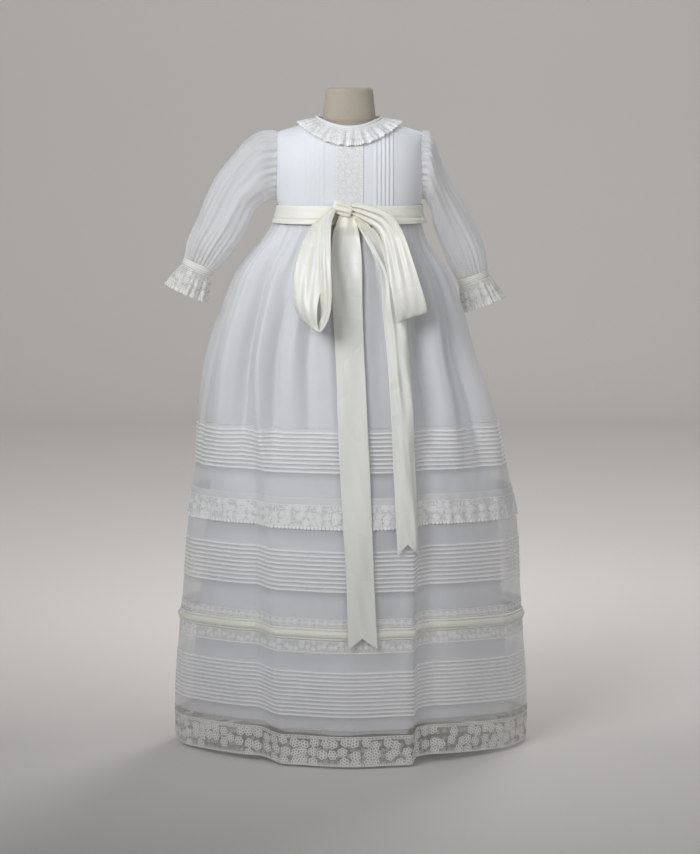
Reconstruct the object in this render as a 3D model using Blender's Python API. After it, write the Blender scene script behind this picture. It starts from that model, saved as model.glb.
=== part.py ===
"""A baby's christening gown on a limbless dress form, with every sewn piece as its own closed solid.

The front faces -Y, +Z is up, and the origin is the centre of the stand base's underside, on the floor.
Each cloth piece is a thin wall between an outer and an inner grid of points. The bodice grids lie on a
general little figure, the skirt grids on rounded sections that widen from the waist to the hem.
"""
import math

import bmesh
import bpy
import numpy as np

# Driving dimensions, in metres
SEAM = 0.0003
CLOTH = 0.0012
LACE = 0.0010
RIBBON = 0.0010

WAIST = 0.669
CHEST = 0.715
ARMHOLE_MIDDLE = 0.728
ARMHOLE_HALF_HEIGHT = 0.040
ARMHOLE_HALF_DEPTH = 0.027
SHOULDER_TIP_X = 0.091
SHOULDER_TIP_Z = 0.768
NECK_POINT_X = 0.040
NECK_POINT_Z = 0.784
NECK_TOP_Z = 0.794
FRONT_NECK_Z = 0.7724
BACK_NECK_Z = 0.781
BINDING_HEIGHT = 0.004
LACE_PANEL_HALF_WIDTH = 0.0175

FIGURE_SQUARENESS = 2.6
FIGURE_CROWN = 2.4
FORM_CROWN = 1.7
FORM_EASE = 0.0080
FORM_BOTTOM = 0.560
FORM_NECK_HALF_WIDTH = 0.033
FORM_NECK_HALF_DEPTH = 0.028
FORM_NECK_TAPER = 0.13
FORM_TOP = 0.823
FORM_HEIGHTS = (0.566, 0.600, 0.640, 0.675, 0.700, 0.730, 0.748, 0.760, 0.768, 0.774, 0.779, 0.784, 0.800,
                FORM_TOP)
POLE_RADIUS = 0.008
BASE_RADIUS = 0.110
BASE_HEIGHT = 0.008

PANEL_ROWS = (0, 0.19, 0.3, 0.5, 0.7, 0.86, 0.95, 0.985, 1)
LACE_PANEL_BOTTOM = 0.115
BODICE_TUCKS = 5
BODICE_TUCK_START = 0.029
BODICE_TUCK_PITCH = 0.005
TUCK_LIFT = 0.0009
TUCK_EDGE = 0.0005
BUTTON_RADIUS = 0.004
BUTTON_THICKNESS = 0.002
BUTTON_X = 0.0045
BUTTON_HEIGHTS = (0.690, 0.710, 0.730)

COLLAR_COLUMNS = 45
BINDING_COLUMNS = 33
BACK_GAP_TURN = 0.02

CUFF_EASE = 0.0004
CUFF_DEPTH = 0.008
CUFF_FRILL_DEPTH = 0.033
CUFF_FRILL_FLARE = 0.008
CUFF_FRILL_RIPPLE = 0.0015

GATHERS = 48
SKIRT_COLUMNS = 28
LINING_COLUMNS = 24
GATHERED_HEIGHTS = (0.652, 0.625, 0.575, 0.500)
SKIRT_TOP_EDGE = 0.4120
TIER_EDGE = 0.1845
CORD_TOP = 0.1730
CORD_BOTTOM = 0.1580
LOWER_TIER_TOP = 0.1420
HEM_LACE_TOP = 0.0480
HEM = 0.0030
LINING_HEM = 0.0500
LINING_HEIGHTS = (LINING_HEM, 0.200, 0.340, 0.500, 0.600, 0.645)
FRILL_TOP = 0.3290
FRILL_BOTTOM = 0.2900
TAIL_OUT = 0.0046
TAIL_ROWS = 18


def table(columns, *rows):
    """Short table with named columns."""
    return np.array(list(rows), dtype=[(name, float) for name in columns.split()])


# Half width and half depth of the little figure under the bodice, from hip to shoulder
FIGURE = table("z half_width half_depth",
               (0.560, 0.078, 0.050), (0.620, 0.083, 0.055), (0.669, 0.087, 0.057),
               (0.700, 0.092, 0.0585), (0.800, 0.0925, 0.0585))

# Sections of the skirt: half width, half depth, sideways shift, squareness, height of the gathers
SKIRT = table("z half_width half_depth shift square gather",
              (0.000, 0.2225, 0.148, 0.002, 1.6, 0.0),
              (0.050, 0.2235, 0.148, 0.002, 1.6, 0.0),
              (0.120, 0.2195, 0.146, 0.002, 1.6, 0.0),
              (0.200, 0.2130, 0.139, 0.003, 1.6, 0.0),
              (0.280, 0.2075, 0.128, 0.004, 1.65, 0.0),
              (0.350, 0.1965, 0.114, 0.002, 1.8, 0.0),
              (0.430, 0.1825, 0.102, -0.004, 2.0, 0.0002),
              (0.500, 0.1620, 0.093, -0.010, 2.2, 0.0010),
              (0.560, 0.1430, 0.086, -0.008, 2.3, 0.0016),
              (0.600, 0.1265, 0.079, -0.008, 2.3, 0.0020),
              (0.635, 0.1010, 0.068, -0.006, 2.4, 0.0020),
              (0.669, 0.0870, 0.057, 0.000, 2.6, 0.0006))

# Groups of tucks down the skirt
TUCK_GROUPS = table("top bottom count", (0.410, 0.358, 10), (0.268, 0.216, 10), (0.122, 0.064, 12))

# Lace frill: height and distance out from the skirt
FRILL = table("z out", (FRILL_TOP, 0.0), (0.3020, 0.0004), (FRILL_BOTTOM, 0.0014))

# Sections of the sash over the waist seam
SASH = table("z half_width half_depth",
             (0.6575, 0.0956, 0.0645), (0.6680, 0.0905, 0.0610), (0.6795, 0.0898, 0.0598))

# Rings of the lace collar: distance outside the neckline, ripple and height above the bodice
COLLAR = table("reach ripple lift",
               (0.001, 0.0002, 0.0022), (0.012, 0.0009, 0.0028), (0.022, 0.0014, 0.0034))

# How far the underskirt hangs inside the skirt
LINING = table("z inset", (0.050, 0.023), (0.340, 0.024), (0.500, 0.018), (0.600, 0.010),
               (0.645, 0.0050), (0.669, 0.0024))

# Long folds of the skirt, as shares of the way round from the centre back
FOLDS = table("share_top share_hem z_top z_end half_width lift",
              (0.350, 0.398, 0.62, 0.00, 0.014, -0.0070),
              (0.372, 0.424, 0.60, 0.00, 0.013, 0.0060),
              (0.578, 0.562, 0.60, 0.00, 0.013, 0.0060),
              (0.606, 0.590, 0.62, 0.00, 0.014, -0.0070),
              (0.270, 0.290, 0.60, 0.10, 0.016, 0.0040),
              (0.705, 0.700, 0.60, 0.10, 0.016, 0.0035),
              (0.120, 0.100, 0.62, 0.05, 0.018, 0.0050),
              (0.180, 0.165, 0.62, 0.10, 0.016, -0.0045),
              (0.880, 0.900, 0.62, 0.00, 0.018, 0.0050),
              (0.825, 0.845, 0.60, 0.10, 0.016, -0.0045))

# Rings of each sleeve from the armhole to the cuff; lean is the turn of the ring from upright
SLEEVE_COLUMNS = 28
LEFT_SLEEVE = table("x y z half_across half_depth lean gather",
                    (-0.0930, 0.000, 0.728, 0.0415, 0.0285, 0, 0.0),
                    (-0.1030, 0.000, 0.726, 0.0425, 0.0350, 10, 0.0014),
                    (-0.1125, 0.000, 0.721, 0.0400, 0.0380, 20, 0.0008),
                    (-0.1240, 0.000, 0.709, 0.0345, 0.0380, 38, 0.0),
                    (-0.1380, 0.000, 0.694, 0.0310, 0.0360, 50, 0.0),
                    (-0.1490, 0.000, 0.673, 0.0300, 0.0340, 58, 0.0),
                    (-0.1600, 0.001, 0.651, 0.0290, 0.0330, 62, 0.0),
                    (-0.1750, 0.002, 0.627, 0.0265, 0.0290, 64, 0.0008),
                    (-0.1860, 0.003, 0.606, 0.0205, 0.0205, 66, 0.0))
RIGHT_SLEEVE = table("x y z half_across half_depth lean gather",
                     (0.0930, 0.000, 0.728, 0.0415, 0.0285, 0, 0.0),
                     (0.0985, 0.001, 0.7245, 0.0405, 0.0340, 6, 0.0010),
                     (0.1045, 0.005, 0.7080, 0.0290, 0.0370, 17, 0.0006),
                     (0.1125, 0.012, 0.690, 0.0215, 0.0370, 34, 0.0),
                     (0.1220, 0.019, 0.668, 0.0230, 0.0350, 50, 0.0),
                     (0.1330, 0.026, 0.645, 0.0240, 0.0330, 56, 0.0),
                     (0.1460, 0.033, 0.616, 0.0245, 0.0290, 62, 0.0008),
                     (0.1545, 0.037, 0.590, 0.0200, 0.0205, 70, 0.0))

# The bow's tails, each as its two edges on the front of the skirt
CENTRE_TAIL = table("z left right",
                    (0.1480, -0.0015, 0.0345), (0.2130, -0.0030, 0.0310), (0.3510, -0.0110, 0.0255),
                    (0.4300, -0.0145, 0.0215), (0.5060, -0.0170, 0.0180), (0.5600, -0.0205, 0.0160),
                    (0.6260, -0.0220, 0.0145), (0.6560, -0.0130, 0.0110))
RIGHT_TAIL = table("z left right",
                   (0.2600, 0.0585, 0.0845), (0.3500, 0.0540, 0.0810), (0.4460, 0.0495, 0.0770),
                   (0.5060, 0.0450, 0.0725), (0.5600, 0.0400, 0.0670), (0.6000, 0.0380, 0.0580),
                   (0.6250, 0.0270, 0.0450), (0.6500, 0.0135, 0.0260))
TAIL_NOTCH = 0.014

# The bow's loops: centre line in front of the skirt, half width, slope and turn of the ribbon
LEFT_LOOP = table("x z out half_width slope turn",
                  (-0.0198, 0.674, 0.0108, 0.0055, 0, 90), (-0.0290, 0.656, 0.020, 0.0130, 10, 74),
                  (-0.0295, 0.620, 0.026, 0.0180, 0, 78), (-0.0270, 0.580, 0.027, 0.0190, 0, 85),
                  (-0.0290, 0.551, 0.027, 0.0190, -8, 84), (-0.0380, 0.534, 0.026, 0.0190, -18, 70),
                  (-0.0500, 0.539, 0.025, 0.0190, -14, 56), (-0.0565, 0.562, 0.024, 0.0190, -6, 50),
                  (-0.0545, 0.600, 0.022, 0.0185, 0, 48), (-0.0470, 0.638, 0.017, 0.0130, 6, 50),
                  (-0.0370, 0.658, 0.013, 0.0070, 20, 55))
RIGHT_LOOP = table("x z out half_width slope turn",
                   (0.0026, 0.676, 0.0108, 0.0070, 90, 0), (0.0200, 0.671, 0.018, 0.0110, 76, 16),
                   (0.0400, 0.662, 0.023, 0.0135, 56, 16), (0.0570, 0.645, 0.025, 0.0160, 34, 12),
                   (0.0670, 0.615, 0.029, 0.0170, 16, 6), (0.0725, 0.580, 0.029, 0.0185, 14, 2),
                   (0.0750, 0.556, 0.027, 0.0190, 18, -4), (0.0760, 0.547, 0.023, 0.0190, 19, -8),
                   (0.0745, 0.556, 0.0185, 0.0190, 18, -12), (0.0700, 0.590, 0.0170, 0.0180, 14, -14),
                   (0.0600, 0.628, 0.0160, 0.0150, 30, -12), (0.0440, 0.650, 0.0130, 0.0100, 50, -8),
                   (0.0300, 0.659, 0.0110, 0.0070, 64, 0))
KNOT_CENTRE = (-0.0085, 0.676)
KNOT_SEAT = 0.0618
KNOT_HALF_SIZES = (0.0105, 0.0060, 0.0125)


def smooth(rows, column, at):
    """Value of a table's column at the given heights, along a smooth curve through its rows."""
    knots, values = rows["z"], rows[column]
    slopes = np.gradient(values, knots)
    at = np.clip(np.asarray(at, dtype=float), knots[0], knots[-1])
    index = np.clip(np.searchsorted(knots, at) - 1, 0, len(knots) - 2)
    span = knots[index + 1] - knots[index]
    t = (at - knots[index]) / span
    rise = values[index + 1] - values[index]
    start, end = slopes[index] * span, slopes[index + 1] * span
    return (values[index] + start * t + (3 * rise - 2 * start - end) * t ** 2
            + (start + end - 2 * rise) * t ** 3)


def round_off(share, power):
    """Superellipse: how much of the full depth is left at a share of the full width."""
    return (1 - np.clip(np.abs(share), 0, 1) ** power) ** (1 / power)


def shoulder_line(x):
    """Height of the figure's top edge at distance x from its middle."""
    return np.interp(np.abs(x), (0, NECK_POINT_X, SHOULDER_TIP_X),
                     (NECK_TOP_Z, NECK_POINT_Z, SHOULDER_TIP_Z))


def figure_depth(x, z, ease, shoulder_ease, crown=FIGURE_CROWN):
    """Half depth of the figure at (x, z), let out sideways by ease and upwards by shoulder_ease.

    A smaller crown makes the top of the shoulder more pointed.
    """
    side = round_off(x / (smooth(FIGURE, "half_width", z) + ease), FIGURE_SQUARENESS)
    rise = np.clip((z - CHEST) / (shoulder_line(x) + shoulder_ease - CHEST), 0, 1)
    return (smooth(FIGURE, "half_depth", z) + ease) * side * round_off(rise, crown)


def figure_edge(z, depth, ease):
    """Distance x at which the figure is only as deep as the given depth."""
    x = np.linspace(0, smooth(FIGURE, "half_width", z) + ease, 400)
    return np.interp(-depth, -figure_depth(x, z, ease, ease), x)


def armhole_depth(z):
    """Half depth of the armhole at a height, nothing above and below it."""
    share = np.clip((z - ARMHOLE_MIDDLE) / ARMHOLE_HALF_HEIGHT, -1, 1)
    return ARMHOLE_HALF_DEPTH * np.sqrt(1 - share ** 2)


def unit(vectors):
    """Vectors scaled to length one."""
    return vectors / np.linalg.norm(vectors, axis=-1, keepdims=True)


def clear_scene():
    """Remove the objects that a new file starts with."""
    for item in list(bpy.data.objects):
        bpy.data.objects.remove(item)


def material(name, colour, roughness, metallic=0.0):
    """Plain surface of one sub-part."""
    surface = bpy.data.materials.get(name) or bpy.data.materials.new(name)
    surface.use_nodes = True
    shader = surface.node_tree.nodes["Principled BSDF"]
    shader.inputs["Base Color"].default_value = (*colour, 1.0)
    shader.inputs["Roughness"].default_value = roughness
    shader.inputs["Metallic"].default_value = metallic
    return surface


def cotton():
    """White batiste of the bodice."""
    return material("bodice_cotton", (0.80, 0.81, 0.84), 0.8)


def organza():
    """Sheer ivory-white organza of the skirt and sleeves."""
    return material("sheer_organza", (0.74, 0.74, 0.73), 0.7)


def lining_cloth():
    """Opaque white underskirt."""
    return material("lining_cotton", (0.80, 0.80, 0.80), 0.85)


def lace_net():
    """Ivory lace."""
    return material("ivory_lace", (0.80, 0.77, 0.68), 0.85)


def satin():
    """Cream satin ribbon."""
    return material("cream_satin", (0.84, 0.82, 0.70), 0.3)


def linen():
    """Beige linen over the dress form."""
    return material("form_linen", (0.60, 0.53, 0.42), 0.9)


def steel():
    """Grey painted metal of the stand."""
    return material("stand_metal", (0.55, 0.55, 0.55), 0.4, 0.6)


def pearl():
    """Shiny white of the small back buttons."""
    return material("button_pearl", (0.85, 0.83, 0.78), 0.25)


def keep(item, surface):
    """Give an object its material and put it into the gown's collection."""
    item.data.materials.clear()
    item.data.materials.append(surface)
    for holder in list(item.users_collection):
        holder.objects.unlink(item)
    GOWN.objects.link(item)
    return item


def grid_faces(start, rows, columns, closed):
    """Four-sided faces of a grid of points stored row by row from a start index."""
    last = columns if closed else columns - 1
    return [(start + row * columns + column, start + row * columns + (column + 1) % columns,
             start + (row + 1) * columns + (column + 1) % columns, start + (row + 1) * columns + column)
            for row in range(rows - 1) for column in range(last)]


def wall(name, outer, inner, closed, surface):
    """One closed body between an outer and an inner grid; closed grids run all the way round."""
    outer, inner = np.asarray(outer), np.asarray(inner)
    outer_rows, columns = outer.shape[:2]
    inner_rows = inner.shape[0]
    start = outer_rows * columns
    faces = grid_faces(0, outer_rows, columns, closed) + grid_faces(start, inner_rows, columns, closed)
    rims = ((0, start), ((outer_rows - 1) * columns, start + (inner_rows - 1) * columns))
    for column in range(columns if closed else columns - 1):
        following = (column + 1) % columns
        for outside, inside in rims:
            faces.append((outside + column, outside + following, inside + following, inside + column))
    if not closed:
        for row in range(outer_rows - 1):
            for column in (0, columns - 1):
                low, high = row * columns + column, (row + 1) * columns + column
                faces.append((low, high, start + high, start + low))
    mesh = bpy.data.meshes.new(name)
    mesh.from_pydata(np.concatenate([outer.reshape(-1, 3), inner.reshape(-1, 3)]).tolist(), [], faces)
    shell = bmesh.new()
    shell.from_mesh(mesh)
    bmesh.ops.recalc_face_normals(shell, faces=shell.faces)
    shell.to_mesh(mesh)
    shell.free()
    return keep(bpy.data.objects.new(name, mesh), surface)


def solid(name, rings, surface):
    """One closed body through a stack of rings, with a flat cap at each end."""
    rings = np.asarray(rings)
    rows, columns = rings.shape[:2]
    faces = grid_faces(0, rows, columns, True)
    faces += [tuple(range(columns)), tuple(range((rows - 1) * columns, rows * columns))]
    mesh = bpy.data.meshes.new(name)
    mesh.from_pydata(rings.reshape(-1, 3).tolist(), [], faces)
    shell = bmesh.new()
    shell.from_mesh(mesh)
    bmesh.ops.recalc_face_normals(shell, faces=shell.faces)
    shell.to_mesh(mesh)
    shell.free()
    return keep(bpy.data.objects.new(name, mesh), surface)


def form_ring(z, turns):
    """Ring of the dress form at a height: the figure a little smaller, or the neck where it is deeper."""
    shoulder_ease = -(CLOTH + SEAM)
    neck = 1 - max(z - NECK_POINT_Z, 0) / NECK_POINT_X * FORM_NECK_TAPER
    reach = np.linspace(0, smooth(FIGURE, "half_width", z) - FORM_EASE, 400)
    depths = figure_depth(reach, z, -FORM_EASE, shoulder_ease, FORM_CROWN)
    half_width = max(FORM_NECK_HALF_WIDTH * neck, reach[depths > 0].max() if (depths > 0).any() else 0)
    x = half_width * np.cos(turns)
    neck_depth = FORM_NECK_HALF_DEPTH * neck * round_off(x / (FORM_NECK_HALF_WIDTH * neck), 2)
    body_depth = figure_depth(x, z, -FORM_EASE, shoulder_ease, FORM_CROWN)
    depth = np.maximum(body_depth, neck_depth * (z > CHEST))
    return np.stack([x, depth * np.sign(np.round(np.sin(turns), 6)), np.full(len(turns), z)], axis=1)


def make_form():
    """Linen-covered body with its neck, on a pole and a round base."""
    turns = np.linspace(0, 2 * math.pi, 24, endpoint=False)
    rings = [form_ring(z, turns) for z in FORM_HEIGHTS]
    bottom = rings[0] * (0.9, 0.9, 1.0)
    bottom[:, 2] = FORM_BOTTOM
    solid("form_body", [bottom] + rings, linen())
    pole_bottom = BASE_HEIGHT + SEAM
    pole_top = FORM_BOTTOM - SEAM
    bpy.ops.mesh.primitive_cylinder_add(vertices=16, radius=POLE_RADIUS, depth=pole_top - pole_bottom,
                                        location=(0, 0, (pole_top + pole_bottom) / 2))
    pole = bpy.context.object
    pole.name = "stand_pole"
    keep(pole, steel())
    bpy.ops.mesh.primitive_cylinder_add(vertices=40, radius=BASE_RADIUS, depth=BASE_HEIGHT,
                                        location=(0, 0, BASE_HEIGHT / 2))
    base = bpy.context.object
    base.name = "stand_base"
    keep(base, steel())


def neckline(x, middle):
    """Height of the neckline at x, from its lowest point at the middle to the neck point."""
    return middle + (NECK_POINT_Z - middle) * np.clip(np.abs(x) / NECK_POINT_X, 0, 1) ** 2


def panel_grid(inner_x, outer_share, facing, middle, ease, lifts, rows=PANEL_ROWS):
    """Points of a bodice panel.

    Each column starts at a fixed distance inner_x and moves outer_share of the way to the armhole or
    side seam. Each row is a share of the height from the waist to the neckline or the shoulder. Facing
    is -1 for the front and 1 for the back. Lifts raise the columns for the tucks.
    """
    rows = np.array(rows)[:, None]
    sides = np.where(np.asarray(inner_x) + np.asarray(outer_share) < 0, -1, 1)
    inner_x, outer_share = np.abs(inner_x), np.abs(outer_share)
    top_x = inner_x + outer_share * (SHOULDER_TIP_X - inner_x)
    top = np.where(top_x < NECK_POINT_X, neckline(top_x, middle), shoulder_line(top_x) + ease)
    z = WAIST + rows * (top - WAIST)
    edge = np.vectorize(lambda height: figure_edge(min(height, SHOULDER_TIP_Z + ease),
                                                   armhole_depth(height), ease))(z)
    x = inner_x + outer_share * (edge - inner_x)
    depth = figure_depth(x, z, ease, ease)
    depth = np.where(outer_share == 1, armhole_depth(z), depth) + lifts
    return np.stack([x * sides, facing * (depth + SEAM / 2), z + 0 * x], axis=2)


def make_bodice_front():
    """Front with five lengthwise tucks each side of the centre."""
    starts = BODICE_TUCK_START + BODICE_TUCK_PITCH * np.arange(BODICE_TUCKS)
    tuck_x = np.stack([starts, starts + BODICE_TUCK_PITCH - TUCK_EDGE], axis=1).ravel()
    tuck_lift = np.tile((0.0, TUCK_LIFT), BODICE_TUCKS)
    last = BODICE_TUCK_START + BODICE_TUCK_PITCH * BODICE_TUCKS
    under_lace = (LACE_PANEL_HALF_WIDTH / 2, LACE_PANEL_HALF_WIDTH)
    half_x = np.concatenate([under_lace, tuck_x, np.full(6, last)])
    half_share = np.concatenate([np.zeros(12), (0, 0.3, 0.6, 0.82, 0.94, 1)])
    half_lift = np.concatenate([(0, 0), tuck_lift, np.zeros(6)])
    columns_x = np.concatenate([-half_x[::-1], (0,), half_x])
    columns_share = np.concatenate([-half_share[::-1], (0,), half_share])
    lift = np.concatenate([half_lift[::-1], (0,), half_lift])
    outer = panel_grid(columns_x, columns_share, -1, FRONT_NECK_Z, 0.0, lift)
    inner = panel_grid(columns_x, columns_share, -1, FRONT_NECK_Z, -CLOTH, 0.0)
    wall("bodice_front", outer, inner, False, cotton())


def make_bodice_back():
    """Two plain back halves that meet at the centre, closed by small buttons."""
    share = np.array((0, 0.22, 0.34, 0.44, 0.62, 0.8, 0.93, 1))
    for name, side in (("left", -1), ("right", 1)):
        start = np.full(len(share), SEAM / 2)
        outer = panel_grid(side * start, side * share, 1, BACK_NECK_Z, 0.0, 0.0)
        inner = panel_grid(side * start, side * share, 1, BACK_NECK_Z, -CLOTH, 0.0)
        wall("bodice_back_" + name, outer, inner, False, cotton())
    span = BUTTON_RADIUS * np.array((-1, 0, 1))
    for number, z in enumerate(BUTTON_HEIGHTS, start=1):
        y = figure_depth(BUTTON_X + span, z + span, 0, 0).max() + 2 * SEAM + BUTTON_THICKNESS / 2
        bpy.ops.mesh.primitive_cylinder_add(vertices=12, radius=BUTTON_RADIUS, depth=BUTTON_THICKNESS,
                                            location=(BUTTON_X, y, z), rotation=(math.pi / 2, 0, 0))
        button = bpy.context.object
        button.name = "back_button_%d" % number
        keep(button, pearl())


def collar_point(turn, reach, ease):
    """Point on the figure at a distance reach outside the neckline; turn runs from the centre front."""
    radius = NECK_POINT_X + reach
    middle = np.where(np.cos(turn) > 0, FRONT_NECK_Z, BACK_NECK_Z) - reach
    x = radius * np.sin(turn)
    shoulder = shoulder_line(radius)
    z = shoulder - (shoulder - middle) * np.cos(turn) ** 2
    depth = figure_depth(x, z, 0, 0) * (np.abs(np.cos(turn)) > 1e-6)
    point = np.stack([x, -np.sign(np.cos(turn)) * depth, z], axis=-1)
    slope = unit(np.stack([x * 0.4, point[..., 1], 0.03 + 0 * x], axis=-1))
    return point + slope * np.asarray(ease)[..., None]


def make_lace_panel():
    """Strip of lace laid on the bodice front between the tucks, from collar to sash."""
    x = LACE_PANEL_HALF_WIDTH * np.linspace(-1, 1, 5)
    rows = (LACE_PANEL_BOTTOM,) + PANEL_ROWS[2:-1]
    layers = [panel_grid(x, np.zeros(5), -1, FRONT_NECK_Z, 0.0, out, rows)
              for out in (SEAM + LACE, SEAM)]
    wall("bodice_lace_panel", layers[0], layers[1], False, lace_net())


def make_collar():
    """Narrow upright binding round the neckline and the gathered lace collar that lies outside it."""
    last = math.pi - BACK_GAP_TURN
    turns = np.linspace(-last, last, BINDING_COLUMNS)
    none = np.zeros(BINDING_COLUMNS)
    reaches = []
    for ease in (0.0, -CLOTH):
        edge = collar_point(turns, none, none) * (1 + ease / NECK_POINT_X, 1, 1)
        edge[:, 1] += -np.sign(np.cos(turns)) * ease
        low, high = edge.copy(), edge.copy()
        low[:, 2] += 2 * SEAM
        high[:, 2] += 2 * SEAM + BINDING_HEIGHT
        reaches.append(np.stack([low, high]))
    wall("neck_binding", reaches[0], reaches[1], False, cotton())
    turns = np.linspace(-last, last, COLLAR_COLUMNS)
    wave = np.where(np.arange(COLLAR_COLUMNS) % 2, 1.0, -1.0)
    layers = []
    for out in (LACE, 0.0):
        layers.append([collar_point(turns, np.full(COLLAR_COLUMNS, row["reach"]),
                                    out + row["lift"] + row["ripple"] * wave) for row in COLLAR])
    wall("collar_lace", layers[0], layers[1], False, lace_net())


def sleeve_ring(row, turns, ease, ripple):
    """Ring of a sleeve: an oval across the arm, let out by ease, with ripples of the given height."""
    side = math.copysign(1, row["x"])
    lean = math.radians(row["lean"])
    wave = ripple * np.where(np.arange(len(turns)) % 2, 1.0, -1.0)
    across = (row["half_across"] + ease + wave) * np.cos(turns)
    depth = (row["half_depth"] + ease + wave) * np.sin(turns)
    return np.stack([row["x"] + side * math.sin(lean) * across, row["y"] + depth,
                     row["z"] + math.cos(lean) * across], axis=1)


def armhole_ring(row, turns, ease):
    """First ring of a sleeve, just outside the curved edge of the armhole."""
    ring = sleeve_ring(row, turns, ease, 0)
    side = math.copysign(1, row["x"])
    reach = [figure_edge(min(z, SHOULDER_TIP_Z), abs(y), 0) for x, y, z in ring]
    ring[:, 0] = side * (np.array(reach) + 2 * SEAM)
    return ring


def shifted(row, distance, flare=0.0):
    """The same ring moved down the arm, and widened by flare."""
    moved = row.copy()
    lean = math.radians(row["lean"])
    moved["x"] += math.copysign(1, row["x"]) * math.cos(lean) * distance
    moved["z"] -= math.sin(lean) * distance
    moved["half_across"] += flare
    moved["half_depth"] += flare
    return moved


def make_sleeve(name, rows):
    """Sheer sleeve gathered into the armhole and the cuff, its narrow cuff band and its lace frill."""
    turns = np.linspace(0, 2 * math.pi, SLEEVE_COLUMNS, endpoint=False)
    layers = []
    for ease in (0.0, -CLOTH):
        layers.append([armhole_ring(rows[0], turns, ease)]
                      + [sleeve_ring(row, turns, ease, row["gather"]) for row in rows[1:]])
    wall("sleeve_" + name, layers[0], layers[1], True, organza())

    turns = np.linspace(0, 2 * math.pi, 24, endpoint=False)
    ends = (shifted(rows[-1], SEAM), shifted(rows[-1], SEAM + CUFF_DEPTH))
    layers = [[sleeve_ring(row, turns, ease, 0) for row in ends]
              for ease in (CUFF_EASE, CUFF_EASE - CLOTH)]
    wall("cuff_band_" + name, layers[0], layers[1], True, lace_net())

    turns = np.linspace(0, 2 * math.pi, 32, endpoint=False)
    start = 2 * SEAM + CUFF_DEPTH
    frill = [(shifted(rows[-1], start), 0.0),
             (shifted(rows[-1], start + CUFF_FRILL_DEPTH / 2, 0.65 * CUFF_FRILL_FLARE),
              CUFF_FRILL_RIPPLE),
             (shifted(rows[-1], start + CUFF_FRILL_DEPTH, CUFF_FRILL_FLARE), 1.3 * CUFF_FRILL_RIPPLE)]
    layers = [[sleeve_ring(row, turns, ease, ripple) for row, ripple in frill]
              for ease in (0.0, -LACE)]
    wall("cuff_frill_" + name, layers[0], layers[1], True, lace_net())


def fold_height(share, z):
    """How far the long folds lift the skirt at a share of the way round and a height."""
    lift = np.zeros(np.shape(share))
    for fold in FOLDS:
        down = np.clip((fold["z_top"] - z) / (fold["z_top"] - fold["z_end"]), 0, 1)
        centre = fold["share_top"] + (fold["share_hem"] - fold["share_top"]) * down
        strength = np.sin(math.pi * np.clip(down, 0, 0.5)) * (1 - 0.4 * down) * (z < fold["z_top"])
        lift += fold["lift"] * strength * np.exp(-((share - centre) / fold["half_width"]) ** 2)
    return lift


def skirt_ring(z, shares, out=0.0, gathered=0.0):
    """Ring of the skirt at a height, moved outwards by out.

    Shares run from the centre back, past the wearer's right side and the front, and are equal lengths
    of the section. Gathered is -1 or 1 where a point lies in or on a gather.
    """
    half_width, half_depth = smooth(SKIRT, "half_width", z), smooth(SKIRT, "half_depth", z)
    power = smooth(SKIRT, "square", z)
    turns = np.linspace(0.5 * math.pi, 2.5 * math.pi, 721)
    radius = ((np.abs(np.cos(turns)) / half_width) ** power
              + (np.abs(np.sin(turns)) / half_depth) ** power) ** (-1 / power)
    x, y = radius * np.cos(turns), radius * np.sin(turns)
    length = np.concatenate([(0,), np.cumsum(np.hypot(np.diff(x), np.diff(y)))])
    x, y = (np.interp(shares, length / length[-1], values) for values in (x, y))
    normal = unit(np.stack([np.sign(x) * np.abs(x / half_width) ** (power - 1) / half_width,
                            np.sign(y) * np.abs(y / half_depth) ** (power - 1) / half_depth], axis=1))
    lift = out + fold_height(shares, z) + gathered * smooth(SKIRT, "gather", z)
    ring = np.stack([x + smooth(SKIRT, "shift", z), y, np.full(len(shares), z)], axis=1)
    ring[:, :2] += normal * np.reshape(lift, (-1, 1))
    return ring


def skirt_wall(name, rows, inner_heights, thickness, surface):
    """Closed wall round the skirt from (height, lift) rows over a plain inside."""
    shares = np.arange(SKIRT_COLUMNS) / SKIRT_COLUMNS
    outer = [skirt_ring(z, shares, lift) for z, lift in rows]
    inner = [skirt_ring(z, shares, -thickness) for z in inner_heights]
    wall(name, outer, inner, True, surface)


def tuck_rows(group):
    """Rows of a group of tucks pressed downwards: each slants out and steps back in at its edge."""
    count = int(group["count"])
    pitch = (group["top"] - group["bottom"]) / count
    rows = []
    for number in range(count):
        rows.append((group["top"] - number * pitch, 0.0))
        rows.append((group["top"] - (number + 1) * pitch + TUCK_EDGE, TUCK_LIFT))
    return rows + [(group["bottom"], 0.0)]


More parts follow.
